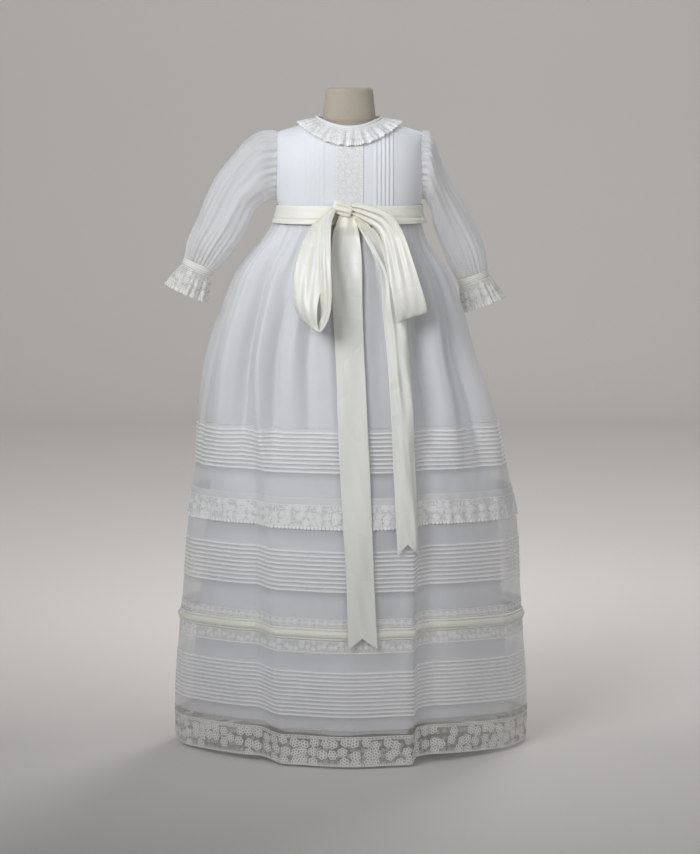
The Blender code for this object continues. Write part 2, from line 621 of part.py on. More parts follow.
def make_skirt():
    """Gathered top, two tucked tiers, the laces and the satin cord between them, and the hem lace."""
    shares = np.arange(2 * GATHERS) / (2 * GATHERS)
    crests = np.where(np.arange(2 * GATHERS) % 2, 1.0, -1.0)
    heights = (WAIST - SEAM,) + GATHERED_HEIGHTS + (SKIRT_TOP_EDGE,)
    layers = [[skirt_ring(z, shares, out, crests) for z in heights] for out in (0.0, -CLOTH)]
    wall("skirt_top", layers[0], layers[1], True, organza())

    first, second, third = TUCK_GROUPS
    top = SKIRT_TOP_EDGE - SEAM
    rows = ([(top, 0.0)] + tuck_rows(first) + [(FRILL_TOP, 0.0), (FRILL_BOTTOM, 0.0)]
            + tuck_rows(second) + [(TIER_EDGE, 0.0)])
    heights = (top, first["bottom"], FRILL_TOP, FRILL_BOTTOM, second["top"], second["bottom"], TIER_EDGE)
    skirt_wall("skirt_upper_tier", rows, heights, CLOTH, organza())
    shares = np.arange(SKIRT_COLUMNS) / SKIRT_COLUMNS
    layers = [[skirt_ring(row["z"], shares, base + row["out"]) for row in FRILL]
              for base in (SEAM + LACE, SEAM)]
    wall("lace_frill", layers[0], layers[1], True, lace_net())

    top = TIER_EDGE - SEAM
    bottom = CORD_TOP + SEAM
    skirt_wall("lace_insertion_upper", [(top, 0.0), (bottom, 0.0)], (top, bottom), LACE, lace_net())
    middle = (CORD_TOP + CORD_BOTTOM) / 2
    rows = [(CORD_TOP, 0.0), (CORD_TOP - 0.003, 0.0028), (middle, 0.0036), (CORD_BOTTOM + 0.003, 0.0028),
            (CORD_BOTTOM, 0.0)]
    skirt_wall("satin_cord", rows, (CORD_TOP, CORD_BOTTOM), CLOTH, satin())
    top = CORD_BOTTOM - SEAM
    bottom = LOWER_TIER_TOP + SEAM
    skirt_wall("lace_insertion_lower", [(top, 0.0), (bottom, 0.0)], (top, bottom), LACE, lace_net())

    rows = [(LOWER_TIER_TOP, 0.0)] + tuck_rows(third) + [(HEM_LACE_TOP, 0.0)]
    middle = (LOWER_TIER_TOP + HEM_LACE_TOP) / 2
    skirt_wall("skirt_lower_tier", rows, (LOWER_TIER_TOP, middle, HEM_LACE_TOP), CLOTH, organza())
    top = HEM_LACE_TOP - SEAM
    middle = (top + HEM) / 2
    skirt_wall("hem_lace", [(top, 0.0), (middle, 0.0), (HEM, 0.0)], (top, middle, HEM), LACE, lace_net())


def make_underskirt():
    """Opaque underskirt that hangs inside the sheer skirt from the same waist seam."""
    shares = np.arange(LINING_COLUMNS) / LINING_COLUMNS
    heights = LINING_HEIGHTS + (WAIST - SEAM,)
    layers = [[skirt_ring(z, shares, -smooth(LINING, "inset", z) - depth) for z in heights]
              for depth in (0.0, CLOTH)]
    wall("underskirt", layers[0], layers[1], True, lining_cloth())


def skirt_front(x, z, out):
    """Point on the front of the skirt at (x, z), moved outwards by out."""
    ring = skirt_ring(z, np.linspace(0.25, 0.75, 241), out)
    return np.array((x, np.interp(x, ring[:, 0], ring[:, 1]), z))


def make_sash():
    """Satin band over the waist seam; its ends meet under the knot."""
    turns = np.linspace(-0.5 * math.pi, 1.5 * math.pi, 32, endpoint=False)
    layers = []
    for ease in (RIBBON, 0.0):
        rings = []
        for row in SASH:
            x_share = np.abs(np.cos(turns)) / (row["half_width"] + ease)
            y_share = np.abs(np.sin(turns)) / (row["half_depth"] + ease)
            power = FIGURE_SQUARENESS
            radius = (x_share ** power + y_share ** power) ** (-1 / power)
            ring = [radius * np.cos(turns), radius * np.sin(turns), np.full(len(turns), row["z"])]
            rings.append(np.stack(ring, axis=1))
        layers.append(rings)
    wall("sash_band", layers[0], layers[1], True, satin())


def make_tail(name, rows):
    """Flat tail of the bow on the front of the skirt, cut to a swallow tail."""
    heights = np.linspace(rows["z"].max(), rows["z"].min(), TAIL_ROWS)
    notches = np.where(heights == rows["z"].min(), TAIL_NOTCH, 0)
    grid = []
    for z, notch in zip(heights, notches):
        left, right = smooth(rows, "left", z), smooth(rows, "right", z)
        middle = (left + right) / 2
        grid.append([skirt_front(left, z, TAIL_OUT), skirt_front(middle, z + notch, TAIL_OUT),
                     skirt_front(right, z, TAIL_OUT)])
    inner = np.array(grid)
    outer = inner - (0, RIBBON, 0)
    wall(name, outer, inner, False, satin())


def make_loop(name, rows):
    """Loop of the bow: a ribbon carried down from the knot and back up behind itself."""
    centre = np.array([skirt_front(row["x"], min(row["z"], WAIST), row["out"]) for row in rows])
    centre[:, 2] = rows["z"]
    slope, turn = np.radians(rows["slope"]), np.radians(rows["turn"])
    across = [np.cos(slope) * np.cos(turn), -np.sin(turn), np.sin(slope) * np.cos(turn)]
    across = np.stack(across, axis=1) * rows["half_width"][:, None]
    thickness = unit(np.cross(np.gradient(centre, axis=0), across)) * RIBBON / 2
    middle = np.stack([centre - across, centre, centre + across], axis=1)
    wall(name, middle + thickness[:, None], middle - thickness[:, None], False, satin())


def make_bow():
    """Knot on the front of the sash, two drooping loops and two long tails."""
    x, z = KNOT_CENTRE
    y = -(KNOT_SEAT + KNOT_HALF_SIZES[1])
    bpy.ops.mesh.primitive_uv_sphere_add(segments=16, ring_count=8, radius=1, location=(x, y, z),
                                         scale=KNOT_HALF_SIZES)
    knot = bpy.context.object
    knot.name = "bow_knot"
    keep(knot, satin())
    make_loop("bow_loop_left", LEFT_LOOP)
    make_loop("bow_loop_right", RIGHT_LOOP)
    make_tail("bow_tail_centre", CENTRE_TAIL)
    make_tail("bow_tail_right", RIGHT_TAIL)


clear_scene()
GOWN = bpy.data.collections.new("christening_gown")
bpy.context.scene.collection.children.link(GOWN)
make_form()
make_underskirt()
make_skirt()
make_bodice_front()
make_bodice_back()
make_lace_panel()
make_collar()
make_sleeve("left", LEFT_SLEEVE)
make_sleeve("right", RIGHT_SLEEVE)
make_sash()
make_bow()
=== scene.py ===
"""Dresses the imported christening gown: sheer tucked skirt over its lining, lace, bodice, sleeves and bow.

Every piece is worked out in metres in the frame's own axes: the front faces -Y and +Z is up.
"""

import math

import bpy
import numpy as np
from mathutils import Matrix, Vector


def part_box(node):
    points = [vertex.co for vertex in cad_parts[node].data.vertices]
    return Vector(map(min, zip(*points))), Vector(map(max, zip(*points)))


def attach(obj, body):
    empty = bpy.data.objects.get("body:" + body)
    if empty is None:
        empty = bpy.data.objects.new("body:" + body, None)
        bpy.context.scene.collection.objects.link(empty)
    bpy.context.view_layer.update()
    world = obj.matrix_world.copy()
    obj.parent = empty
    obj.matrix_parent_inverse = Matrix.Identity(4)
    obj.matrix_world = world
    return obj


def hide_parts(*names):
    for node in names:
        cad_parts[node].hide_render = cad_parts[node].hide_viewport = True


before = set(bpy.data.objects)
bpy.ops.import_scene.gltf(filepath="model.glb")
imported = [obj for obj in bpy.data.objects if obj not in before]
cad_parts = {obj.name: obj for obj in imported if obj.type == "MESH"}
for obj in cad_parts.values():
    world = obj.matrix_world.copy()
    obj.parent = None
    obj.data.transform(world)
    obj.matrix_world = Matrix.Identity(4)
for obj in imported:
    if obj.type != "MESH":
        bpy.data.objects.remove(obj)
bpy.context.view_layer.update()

# The studio: a pale floor that runs up into a pale wall. A soft cool light shines from the front left, a
# weaker one from the front right, one from behind, and a wide one on the wall. The camera stands 3.2 m
# away, as high as the gown's neck.
FLOOR_HALF, WALL_BACK, COVE_RADIUS = 6.0, 3.2, 0.8
CAMERA_PLACE = (0.0008, -3.2, 0.8118)
CAMERA_PITCH = math.radians(7.32)
CAMERA_LENS = 108.4


class Wire:
    """An output in a material's node tree, with the operators that the finishes below use."""

    def __init__(self, socket):
        self.socket = socket
        self.tree = socket.id_data

    def add(self, kind, settings, sockets, output=0):
        """New node in the same tree: its properties are set first, then its inputs, by index or name."""
        node = self.tree.nodes.new(kind)
        for key, value in settings.items():
            setattr(node, key, value)
        for key, value in sockets.items():
            if isinstance(value, Wire):
                self.tree.links.new(value.socket, node.inputs[key])
            else:
                node.inputs[key].default_value = value
        return Wire(node.outputs[output])

    def sum(self, operation, *others):
        """Math node that works on this value and any others."""
        return self.add("ShaderNodeMath", {"operation": operation}, dict(enumerate((self, *others))))

    def __add__(self, other):
        return self.sum("ADD", other)

    def __sub__(self, other):
        return self.sum("SUBTRACT", other)

    def __rsub__(self, other):
        return (self * -1.0).sum("ADD", other)

    def __mul__(self, other):
        return self.sum("MULTIPLY", other)

    def __truediv__(self, other):
        return self.sum("DIVIDE", other)

    def __abs__(self):
        return self.sum("ABSOLUTE")

    __radd__ = __add__
    __rmul__ = __mul__

    def most(self, other):
        """The larger of two values."""
        return self.sum("MAXIMUM", other)

    def least(self, other):
        """The smaller of two values."""
        return self.sum("MINIMUM", other)

    def root(self):
        """Square root."""
        return self.sum("SQRT")

    def angle(self, x):
        """Angle of a point whose y is this value."""
        return self.sum("ARCTAN2", x)

    def wave(self, period):
        """Sine of the value, one full turn for each period."""
        return (self * (2 * math.pi / period)).sum("SINE")

    def repeat(self, period, start=0.0):
        """The value folded into -period / 2 to period / 2 about the middle of each repeat."""
        return (self - start).sum("WRAP", period / 2, -period / 2)

    def step(self, low, high, start=0.0, end=1.0):
        """Smooth change from start to end as the value goes from low to high."""
        settings = {"interpolation_type": "SMOOTHSTEP"}
        return self.add("ShaderNodeMapRange", settings, {0: self, 1: low, 2: high, 3: start, 4: end})

    def noise(self, scale, detail=2.0):
        """Cloudy noise from 0 to 1 at the place that this wire gives."""
        return self.add("ShaderNodeTexNoise", {}, {"Vector": self, "Scale": scale, "Detail": detail})

    def colour(self, dark, light):
        """Mix from one colour to another as the value goes from 0 to 1."""
        return self.add("ShaderNodeMix", {"data_type": "RGBA"},
                        {0: self, 6: (*dark, 1.0), 7: (*light, 1.0)}, 2)


def finish(name, roughness, dress, **fixed):
    """Material whose dress(place, u, v) gives Base Color and, if wanted, Alpha, Roughness and Height.

    Place is the object position; u and v are metres across and down the cloth from its UV map. Fixed
    values go straight onto the shader's sockets.
    """
    made = bpy.data.materials.new(name)
    made.use_nodes = True
    shader = made.node_tree.nodes["Principled BSDF"]
    shader.inputs["Roughness"].default_value = roughness
    for key, value in fixed.items():
        shader.inputs[key.replace("_", " ")].default_value = value
    start = Wire(shader.outputs[0])
    place = start.add("ShaderNodeTexCoord", {}, {}, 3)
    split = start.add("ShaderNodeUVMap", {"uv_map": "cloth"}, {})
    u = start.add("ShaderNodeSeparateXYZ", {}, {0: split}, 0)
    v = start.add("ShaderNodeSeparateXYZ", {}, {0: split}, 1)
    looks = dress(place, u, v)
    height = looks.pop("Height", None)
    if height is not None:
        depth = looks.pop("Depth", 0.0004)
        bump = start.add("ShaderNodeBump", {}, {"Height": height, "Distance": depth, "Strength": 1.0})
        made.node_tree.links.new(bump.socket, shader.inputs["Normal"])
    for key, value in looks.items():
        made.node_tree.links.new(value.socket, shader.inputs[key])
    return made


def floor_grid():
    """Floor and wall: a straight floor, a quarter circle and a straight wall, carried sideways."""
    turn = np.linspace(0, math.pi / 2, 24)
    y = np.concatenate([(-FLOOR_HALF,), WALL_BACK + COVE_RADIUS * np.sin(turn), (WALL_BACK + COVE_RADIUS,)])
    z = np.concatenate([(0,), COVE_RADIUS * (1 - np.cos(turn)), (FLOOR_HALF,)])
    x = np.linspace(-FLOOR_HALF, FLOOR_HALF, 2)
    return np.stack(np.broadcast_arrays(x, y[:, None], z[:, None]), axis=2)


def lengths(line):
    """Distance travelled along a line of points, from 0 at its start."""
    steps = np.linalg.norm(np.diff(line, axis=0), axis=-1)
    return np.concatenate([(0,), np.cumsum(steps)])


def surface(name, points, material, closed=False, facing=None, across=None, down=None, **values):
    """Mesh on a grid of points, row by row, its columns joined round the back when closed.

    The UV map holds metres across and down, measured along the middle row and column unless given.
    Faces look along facing, or away from the grid's middle where none is given. Further values are
    stored as attributes of the points.
    """
    points = np.asarray(points, dtype=float)
    rows, columns = points.shape[:2]
    index = np.arange(rows * columns).reshape(rows, columns)
    loop = np.concatenate([points, points[:, :1]], axis=1) if closed else points
    index = np.concatenate([index, index[:, :1]], axis=1) if closed else index
    across = lengths(loop[rows // 2]) if across is None else np.asarray(across)
    down = lengths(loop[:, loop.shape[1] // 2])[:, None] if down is None else np.asarray(down)
    flat = np.stack(np.broadcast_arrays(across + 0 * loop[..., 0], down + 0 * loop[..., 0]), axis=2)

    def corners(grid):
        quads = np.stack([grid[:-1, :-1], grid[1:, :-1], grid[1:, 1:], grid[:-1, 1:]], axis=2)
        return quads.reshape(-1, 4, *grid.shape[2:])

    faces, flat = corners(index), corners(flat)
    places = points.reshape(-1, 3)[faces]
    normals = np.cross(places[:, 2] - places[:, 0], places[:, 3] - places[:, 1])
    middles = places.mean(axis=1)
    outward = middles - middles.mean(axis=0) if facing is None else np.array(facing, dtype=float)
    if (normals * outward).sum() < 0:
        faces, flat = faces[:, ::-1], flat[:, ::-1]
    mesh = bpy.data.meshes.new(name)
    mesh.from_pydata(points.reshape(-1, 3).tolist(), [], faces.tolist())
    mesh.uv_layers.new(name="cloth").uv.foreach_set("vector", flat.astype(np.float32).ravel())
    for key, value in values.items():
        held = np.broadcast_to(value, (rows, columns)).astype(np.float32)
        mesh.attributes.new(key, "FLOAT", "POINT").data.foreach_set("value", held.ravel())
    mesh.polygons.foreach_set("use_smooth", np.ones(len(faces), dtype=bool))
    mesh.materials.append(material)
    piece = bpy.data.objects.new(name, mesh)
    bpy.context.scene.collection.objects.link(piece)
    return piece


def studio_paint(place, u, v):
    """Matt off-white paint with the faintest clouding."""
    return {"Base Color": place.noise(1.5).colour((0.74, 0.71, 0.68), (0.77, 0.74, 0.71))}


surface("studio_floor", floor_grid(), finish("studio_paint", 0.9, studio_paint), facing=(0, -1, 1))


def soft_light(name, place, aim, size, power, spread, colour=(1.0, 1.0, 1.0)):
    """Square area light that looks from its place to its aim, its light spread over an angle in degrees."""
    lamp = bpy.data.lights.new(name, "AREA")
    lamp.size, lamp.energy, lamp.color, lamp.spread = size, power, colour, math.radians(spread)
    holder = bpy.data.objects.new(name, lamp)
    bpy.context.scene.collection.objects.link(holder)
    away = np.array(aim) - np.array(place)
    flat_length = math.hypot(away[0], away[1])
    holder.location = place
    holder.rotation_euler = (math.atan2(flat_length, -away[2]), 0, math.atan2(-away[0], away[1]))


soft_light("key_light", (-0.78, -1.18, 1.42), (0, 0, 0.78), 1.0, 3.3, 62, (0.95, 0.97, 1.0))
soft_light("fill_light", (1.5, -1.9, 1.3), (0, 0, 0.85), 1.2, 1.7, 76)
soft_light("back_light", (0.9, 2.0, 1.9), (0, 0, 0.5), 1.2, 3, 60)
soft_light("wall_light", (0.0, 0.8, 2.3), (0, 3.6, 1.3), 3.0, 40, 180)

world = bpy.data.worlds.new("studio_air")
world.use_nodes = True
world.node_tree.nodes["Background"].inputs["Color"].default_value = (0.95, 0.97, 1.0, 1.0)
world.node_tree.nodes["Background"].inputs["Strength"].default_value = 0.25
bpy.context.scene.world = world
bpy.context.scene.view_settings.view_transform = "Standard"

lens = bpy.data.cameras.new("camera")
lens.lens = CAMERA_LENS
camera = bpy.data.objects.new("camera", lens)
camera.location = CAMERA_PLACE
camera.rotation_euler = (math.pi / 2 - CAMERA_PITCH, 0, 0)
bpy.context.scene.collection.objects.link(camera)
bpy.context.scene.camera = camera


# The dress form: a padded body without limbs, covered in beige linen with a seam down its middle, on a
# steel tube that is screwed to a round steel base. It only shows at the neck and through the armholes.
def table(columns, *rows):
    """Short table with named columns."""
    return np.array(list(rows), dtype=[(name, float) for name in columns.split()])


def eased(start, end, leave, arrive, t):
    """Cubic from start to end as t goes from 0 to 1, with its slopes at both ends given."""
    rise = end - start
    return start + leave * t + (3 * rise - 2 * leave - arrive) * t ** 2 + (leave + arrive - 2 * rise) * t ** 3


def along(rows, column, at):
    """Value of a table's column at the given heights, along a smooth curve through its rows."""
    knots, values = rows["z"], rows[column]
    slopes = np.gradient(values, knots)
    at = np.clip(np.asarray(at, dtype=float), knots[0], knots[-1])
    low = np.clip(np.searchsorted(knots, at) - 1, 0, len(knots) - 2)
    span = knots[low + 1] - knots[low]
    leave, arrive = slopes[low] * span, slopes[low + 1] * span
    return eased(values[low], values[low + 1], leave, arrive, (at - knots[low]) / span)


CHEST, WAIST = 0.715, 0.669
SHOULDER_TIP_X, SHOULDER_TIP_Z = 0.091, 0.768
NECK_POINT_X, NECK_POINT_Z, NECK_TOP_Z = 0.040, 0.784, 0.794
FIGURE = table("z half_width half_depth",
               (0.560, 0.078, 0.050), (0.620, 0.083, 0.055), (0.669, 0.087, 0.057),
               (0.700, 0.092, 0.0585), (0.800, 0.0925, 0.0585))
FORM_EASE, FORM_BOTTOM, FORM_TOP = 0.0080, 0.560, 0.823
FORM_NECK_HALF_WIDTH, FORM_NECK_HALF_DEPTH, FORM_NECK_TAPER = 0.033, 0.028, 0.13


def round_off(share, power):
    """Superellipse: how much of the full depth is left at a share of the full width."""
    return (1 - np.clip(np.abs(share), 0, 1) ** power) ** (1 / power)


def shoulder_line(x):
    """Height of the figure's top edge at distance x from its middle."""
    return np.interp(np.abs(x), (0, NECK_POINT_X, SHOULDER_TIP_X),
                     (NECK_TOP_Z, NECK_POINT_Z, SHOULDER_TIP_Z))


def figure_depth(x, z, ease, shoulder_ease, crown=2.4):
    """Half depth of the little figure at (x, z): rounded towards its sides and towards its shoulders."""
    side = round_off(x / (along(FIGURE, "half_width", z) + ease), 2.6)
    rise = np.clip((z - CHEST) / (shoulder_line(x) + shoulder_ease - CHEST), 0, 1)
    return (along(FIGURE, "half_depth", z) + ease) * side * round_off(rise, crown)


def form_grid():
    """Body and neck: at each height an oval as wide as the figure, or the neck's where that is larger."""
    top_curve = 0.006 * (1 - np.cos(np.linspace(0, math.pi / 2, 7)))
    heights = np.concatenate([FORM_BOTTOM + 0.006 * np.sin(np.linspace(0, 1.5, 5)),
                              np.linspace(0.572, FORM_TOP - 0.006, 90),
                              FORM_TOP - 0.006 + 0.006 * np.sin(np.linspace(0.2, math.pi / 2, 7))])
    shrink = np.concatenate([0.92 + 0.08 * np.sin(np.linspace(0, 1.5, 5)), np.ones(90),
                             1 - top_curve / 0.033])
    turns = np.linspace(0, 2 * math.pi, 96, endpoint=False)
    reach = np.linspace(0, 0.1, 800)
    rings = []
    for z, size in zip(heights, shrink):
        neck = 1 - max(z - NECK_POINT_Z, 0) / NECK_POINT_X * FORM_NECK_TAPER
        neck_width = FORM_NECK_HALF_WIDTH * neck
        inside = figure_depth(reach, z, -FORM_EASE, -0.0015, 1.7) > 0
        half_width = max(neck_width, reach[inside].max() if inside.any() else 0)
        x = half_width * np.cos(turns)
        neck_depth = FORM_NECK_HALF_DEPTH * neck * round_off(x / neck_width, 2) * (z > CHEST)
        depth = np.maximum(figure_depth(x, z, -FORM_EASE, -0.0015, 1.7), neck_depth)
        y = depth * np.sign(np.round(np.sin(turns), 6))
        rings.append(np.stack([x * size, y * size, np.full(96, z)], axis=1))
    ends = [np.repeat(ring.mean(axis=0, keepdims=True), 96, axis=0) for ring in (rings[0], rings[-1])]
    return np.array([ends[0]] + rings + [ends[1]])


def linen(place, u, v):
    """Plain woven beige linen: crossed threads 0.9 mm apart, slubs and a little unevenness of colour."""
    weave = (u.wave(0.0009) + v.wave(0.0009)) * 0.25 + 0.5
    slub = place.noise(900.0, 3.0)
    return {"Base Color": (weave * 0.4 + slub * 0.6).colour((0.42, 0.37, 0.29), (0.66, 0.60, 0.49)),
            "Height": weave * 0.6 + slub}


def turned(name, profile, columns, material):
    """Closed surface of revolution: a profile of (radius, height) points carried round the Z axis."""
    turns = np.linspace(0, 2 * math.pi, columns, endpoint=False)
    radius, height = np.array(profile).T
    points = np.stack([radius[:, None] * np.cos(turns), radius[:, None] * np.sin(turns),
                       height[:, None] + 0 * turns], axis=2)
    return surface(name, points, material, closed=True)


def close_poles(piece):
    """Joins the points that lie together at the ends of a closed surface."""
    welded = piece.modifiers.new("close_poles", "WELD")
    welded.merge_threshold = 0.00002
    return piece


def steel(place, u, v):
    """Grey enamel on steel, slightly orange-peeled, with faint rubbed patches."""
    rub = place.noise(25.0, 4.0)
    return {"Base Color": rub.colour((0.42, 0.42, 0.43), (0.52, 0.52, 0.53)),
            "Roughness": rub.step(0.3, 0.8, 0.3, 0.5), "Height": place.noise(1200.0)}


form = close_poles(surface("linen_form", form_grid(), finish("linen", 0.9, linen), closed=True))
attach(form, "root")
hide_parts("form_body")
enamel = finish("enamel", 0.4, steel, Metallic=0.3)
base_edge = [(0.110 - 0.002 + 0.002 * math.sin(a), 0.006 + 0.002 * math.cos(a))
             for a in np.linspace(0, math.pi / 2, 6)]
base_profile = ([(0.0, 0.0), (0.109, 0.0), (0.110, 0.001)] + base_edge[::-1]
                + [(0.014, 0.008), (0.013, 0.0112), (0.0121, 0.012), (0.0085, 0.012), (0.0, 0.012)])
pole_profile = [(0.0, 0.0083), (0.008, 0.0083), (0.008, 0.30), (0.008, 0.5595), (0.0, 0.5597)]
base = close_poles(turned("round_base", base_profile, 96, enamel))
pole = close_poles(turned("steel_pole", pole_profile, 48, enamel))
for piece, node in ((base, "stand_base"), (pole, "stand_pole")):
    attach(piece, "root")
    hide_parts(node)


# The skirt's own form, which its lining, tiers, laces and ribbons all share: rounded sections that widen
# from the gathered waist to the hem, with soft folds that fall from the gathers. A share counts the way
# round from the centre back, so 0.25 is the left side and 0.5 the centre front.
SKIRT = table("z half_width half_depth shift square",
              (0.000, 0.2225, 0.148, 0.002, 1.6), (0.050, 0.2235, 0.148, 0.002, 1.6),
              (0.120, 0.2195, 0.146, 0.002, 1.6), (0.200, 0.2130, 0.139, 0.003, 1.6),
              (0.280, 0.2075, 0.128, 0.004, 1.65), (0.350, 0.1965, 0.114, 0.002, 1.8),
              (0.430, 0.1825, 0.102, -0.004, 2.0), (0.500, 0.1620, 0.093, -0.010, 2.2),
              (0.560, 0.1430, 0.086, -0.008, 2.3), (0.600, 0.1265, 0.079, -0.008, 2.3),
              (0.635, 0.1010, 0.068, -0.006, 2.4), (0.669, 0.0870, 0.057, 0.000, 2.6))
FOLDS = table("share_top share_hem z_top z_end half_width lift",
              (0.350, 0.398, 0.62, 0.00, 0.014, -0.0070), (0.372, 0.424, 0.60, 0.00, 0.013, 0.0060),
              (0.578, 0.562, 0.60, 0.00, 0.013, 0.0060), (0.606, 0.590, 0.62, 0.00, 0.014, -0.0070),
              (0.270, 0.290, 0.60, 0.10, 0.016, 0.0040), (0.705, 0.700, 0.60, 0.10, 0.016, 0.0035),
              (0.120, 0.100, 0.62, 0.05, 0.018, 0.0050), (0.180, 0.165, 0.62, 0.10, 0.016, -0.0045),
              (0.880, 0.900, 0.62, 0.00, 0.018, 0.0050), (0.825, 0.845, 0.60, 0.10, 0.016, -0.0045))
SECTION_Z = np.linspace(0.0, WAIST, 224)
SECTION_SHARE = np.linspace(0.0, 1.0, 721)


def oval_radius(turns, width, depth, power):
    """Radius of a superellipse at each turn, from its half width, its half depth and its power."""
    wide, deep = np.abs(np.cos(turns)) / width, np.abs(np.sin(turns)) / depth
    return (wide ** power + deep ** power) ** (-1 / power)


def section_table():
    """Points and outward normals of the sections, at equal lengths round from the centre back."""
    turns = np.linspace(0.5 * math.pi, 2.5 * math.pi, 1441)
    places = []
    for z in SECTION_Z:
        width, depth, power = (along(SKIRT, column, z) for column in ("half_width", "half_depth", "square"))
        radius = oval_radius(turns, width, depth, power)
        x, y = radius * np.cos(turns), radius * np.sin(turns)
        length = lengths(np.stack([x, y], axis=1))
        x, y = (np.interp(SECTION_SHARE, length / length[-1], values) for values in (x, y))
        slope = np.stack([np.sign(x) * np.abs(x / width) ** (power - 1) / width,
                          np.sign(y) * np.abs(y / depth) ** (power - 1) / depth], axis=1)
        slope /= np.linalg.norm(slope, axis=1, keepdims=True)
        places.append(np.column_stack([x + along(SKIRT, "shift", z), y, slope, np.full(len(x), length[-1])]))
    return np.array(places)


SECTIONS = section_table()


def section(z, share):
    """x, y, normal and girth of the plain section at any heights and shares, between the table's rows."""
    z, share = np.broadcast_arrays(np.asarray(z, dtype=float), np.mod(share, 1.0))
    row = np.clip(z / WAIST, 0, 1) * (len(SECTION_Z) - 1)
    column = share * (len(SECTION_SHARE) - 1)
    low = np.minimum(row.astype(int), len(SECTION_Z) - 2)
    left = np.minimum(column.astype(int), len(SECTION_SHARE) - 2)
    up, right = (row - low)[..., None], (column - left)[..., None]
    near = SECTIONS[low, left] * (1 - right) + SECTIONS[low, left + 1] * right
    far = SECTIONS[low + 1, left] * (1 - right) + SECTIONS[low + 1, left + 1] * right
    return near * (1 - up) + far * up


def bell(share, centre, width):
    """Bell curve round the skirt: 1 at its centre, and dying away on both sides over its width."""
    off = (share - centre + 0.5) % 1.0 - 0.5
    return np.exp(-(off / width) ** 2)


def long_folds(share, z):
    """Soft ridges and troughs, each a bell across its path that fades in below its top."""
    share, z = np.broadcast_arrays(share, z)
    lift = np.zeros(share.shape)
    for fold in FOLDS:
        down = np.clip((fold["z_top"] - z) / (fold["z_top"] - fold["z_end"]), 0, 1)
        centre = fold["share_top"] + (fold["share_hem"] - fold["share_top"]) * down
        strength = np.sin(math.pi * np.clip(down, 0, 0.5)) * (1 - 0.4 * down)
        lift += fold["lift"] * strength * bell(share, centre, fold["half_width"])
    return lift


DRAPES = table("share_top share_low z_top z_low half_width lift",
               (0.325, 0.318, 0.66, 0.36, 0.012, 0.0050), (0.352, 0.349, 0.66, 0.33, 0.010, -0.0090),
               (0.376, 0.384, 0.64, 0.36, 0.010, 0.0060), (0.404, 0.400, 0.57, 0.37, 0.008, -0.0055),
               (0.430, 0.428, 0.62, 0.40, 0.012, 0.0035), (0.453, 0.449, 0.60, 0.37, 0.009, -0.0050),
               (0.600, 0.585, 0.64, 0.38, 0.010, 0.0050), (0.626, 0.612, 0.64, 0.37, 0.009, -0.0085),
               (0.660, 0.640, 0.66, 0.35, 0.012, 0.0060), (0.692, 0.680, 0.66, 0.33, 0.010, -0.0055),
               (0.722, 0.715, 0.66, 0.30, 0.012, 0.0050), (0.280, 0.272, 0.66, 0.30, 0.011, -0.0050),
               (0.765, 0.770, 0.66, 0.34, 0.011, -0.0055), (0.805, 0.812, 0.65, 0.30, 0.013, 0.0055),
               (0.850, 0.846, 0.66, 0.36, 0.010, -0.0060), (0.895, 0.905, 0.64, 0.32, 0.012, 0.0050),
               (0.940, 0.932, 0.66, 0.34, 0.010, -0.0060), (0.985, 0.990, 0.65, 0.30, 0.012, 0.0050),
               (0.035, 0.028, 0.66, 0.35, 0.010, -0.0060), (0.080, 0.088, 0.64, 0.32, 0.012, 0.0055),
               (0.125, 0.118, 0.66, 0.36, 0.010, -0.0055), (0.170, 0.176, 0.65, 0.30, 0.013, 0.0050),
               (0.225, 0.232, 0.66, 0.34, 0.011, 0.0050))
DRAPE_GAIN = 1.6


def drapes(share, z):
    """Broad soft folds of the upper skirt: bells across, which swell and die away down their length."""
    share, z = np.broadcast_arrays(share, z)
    lift = np.zeros(share.shape)
    for fold in DRAPES:
        down = np.clip((fold["z_top"] - z) / (fold["z_top"] - fold["z_low"]), 0, 1)
        centre = fold["share_top"] + (fold["share_low"] - fold["share_top"]) * down
        width = fold["half_width"] * (0.7 + 0.5 * down)
        lift += DRAPE_GAIN * fold["lift"] * np.sin(math.pi * down) ** 0.8 * bell(share, centre, width)
    return lift


RIPPLES, RIPPLE_HEIGHT, RIPPLE_TOP = 64, 0.0030, 0.665
dice = np.random.default_rng(7)
RIPPLE_SHARE = (np.arange(RIPPLES) + dice.uniform(-0.3, 0.3, RIPPLES)) / RIPPLES
RIPPLE_DRIFT = dice.uniform(-0.010, 0.010, RIPPLES)
RIPPLE_END = dice.uniform(0.05, 0.50, RIPPLES)
RIPPLE_LIFT = dice.uniform(0.5, 1.0, RIPPLES) * np.where(np.arange(RIPPLES) % 2, 1, -1)


def small_folds(share, z):
    """Gathers below the waist: uneven ridges and troughs that widen downwards and end at many heights."""
    share, z = np.broadcast_arrays(share, z)
    lift = np.zeros(share.shape)
    for start, drift, end, size in zip(RIPPLE_SHARE, RIPPLE_DRIFT, RIPPLE_END, RIPPLE_LIFT):
        down = np.clip((RIPPLE_TOP - z) / (RIPPLE_TOP - end), 0, 1)
        strength = size * RIPPLE_HEIGHT * np.minimum(down * 9, 1) * (1 - down) ** 1.3
        lift += strength * bell(share, start + drift * down, 0.0062 + 0.006 * down)
    return lift


def ramp(value, low, high):
    """Smooth rise from 0 to 1 as the value goes from low to high."""
    t = np.clip((value - low) / (high - low), 0, 1)
    return t * t * (3 - 2 * t)


PANEL_LEFT, PANEL_RIGHT = (0.392, 0.419), (0.580, 0.568)
HITCH_HEIGHT, PANEL_STEP = 0.0075, 0.0035


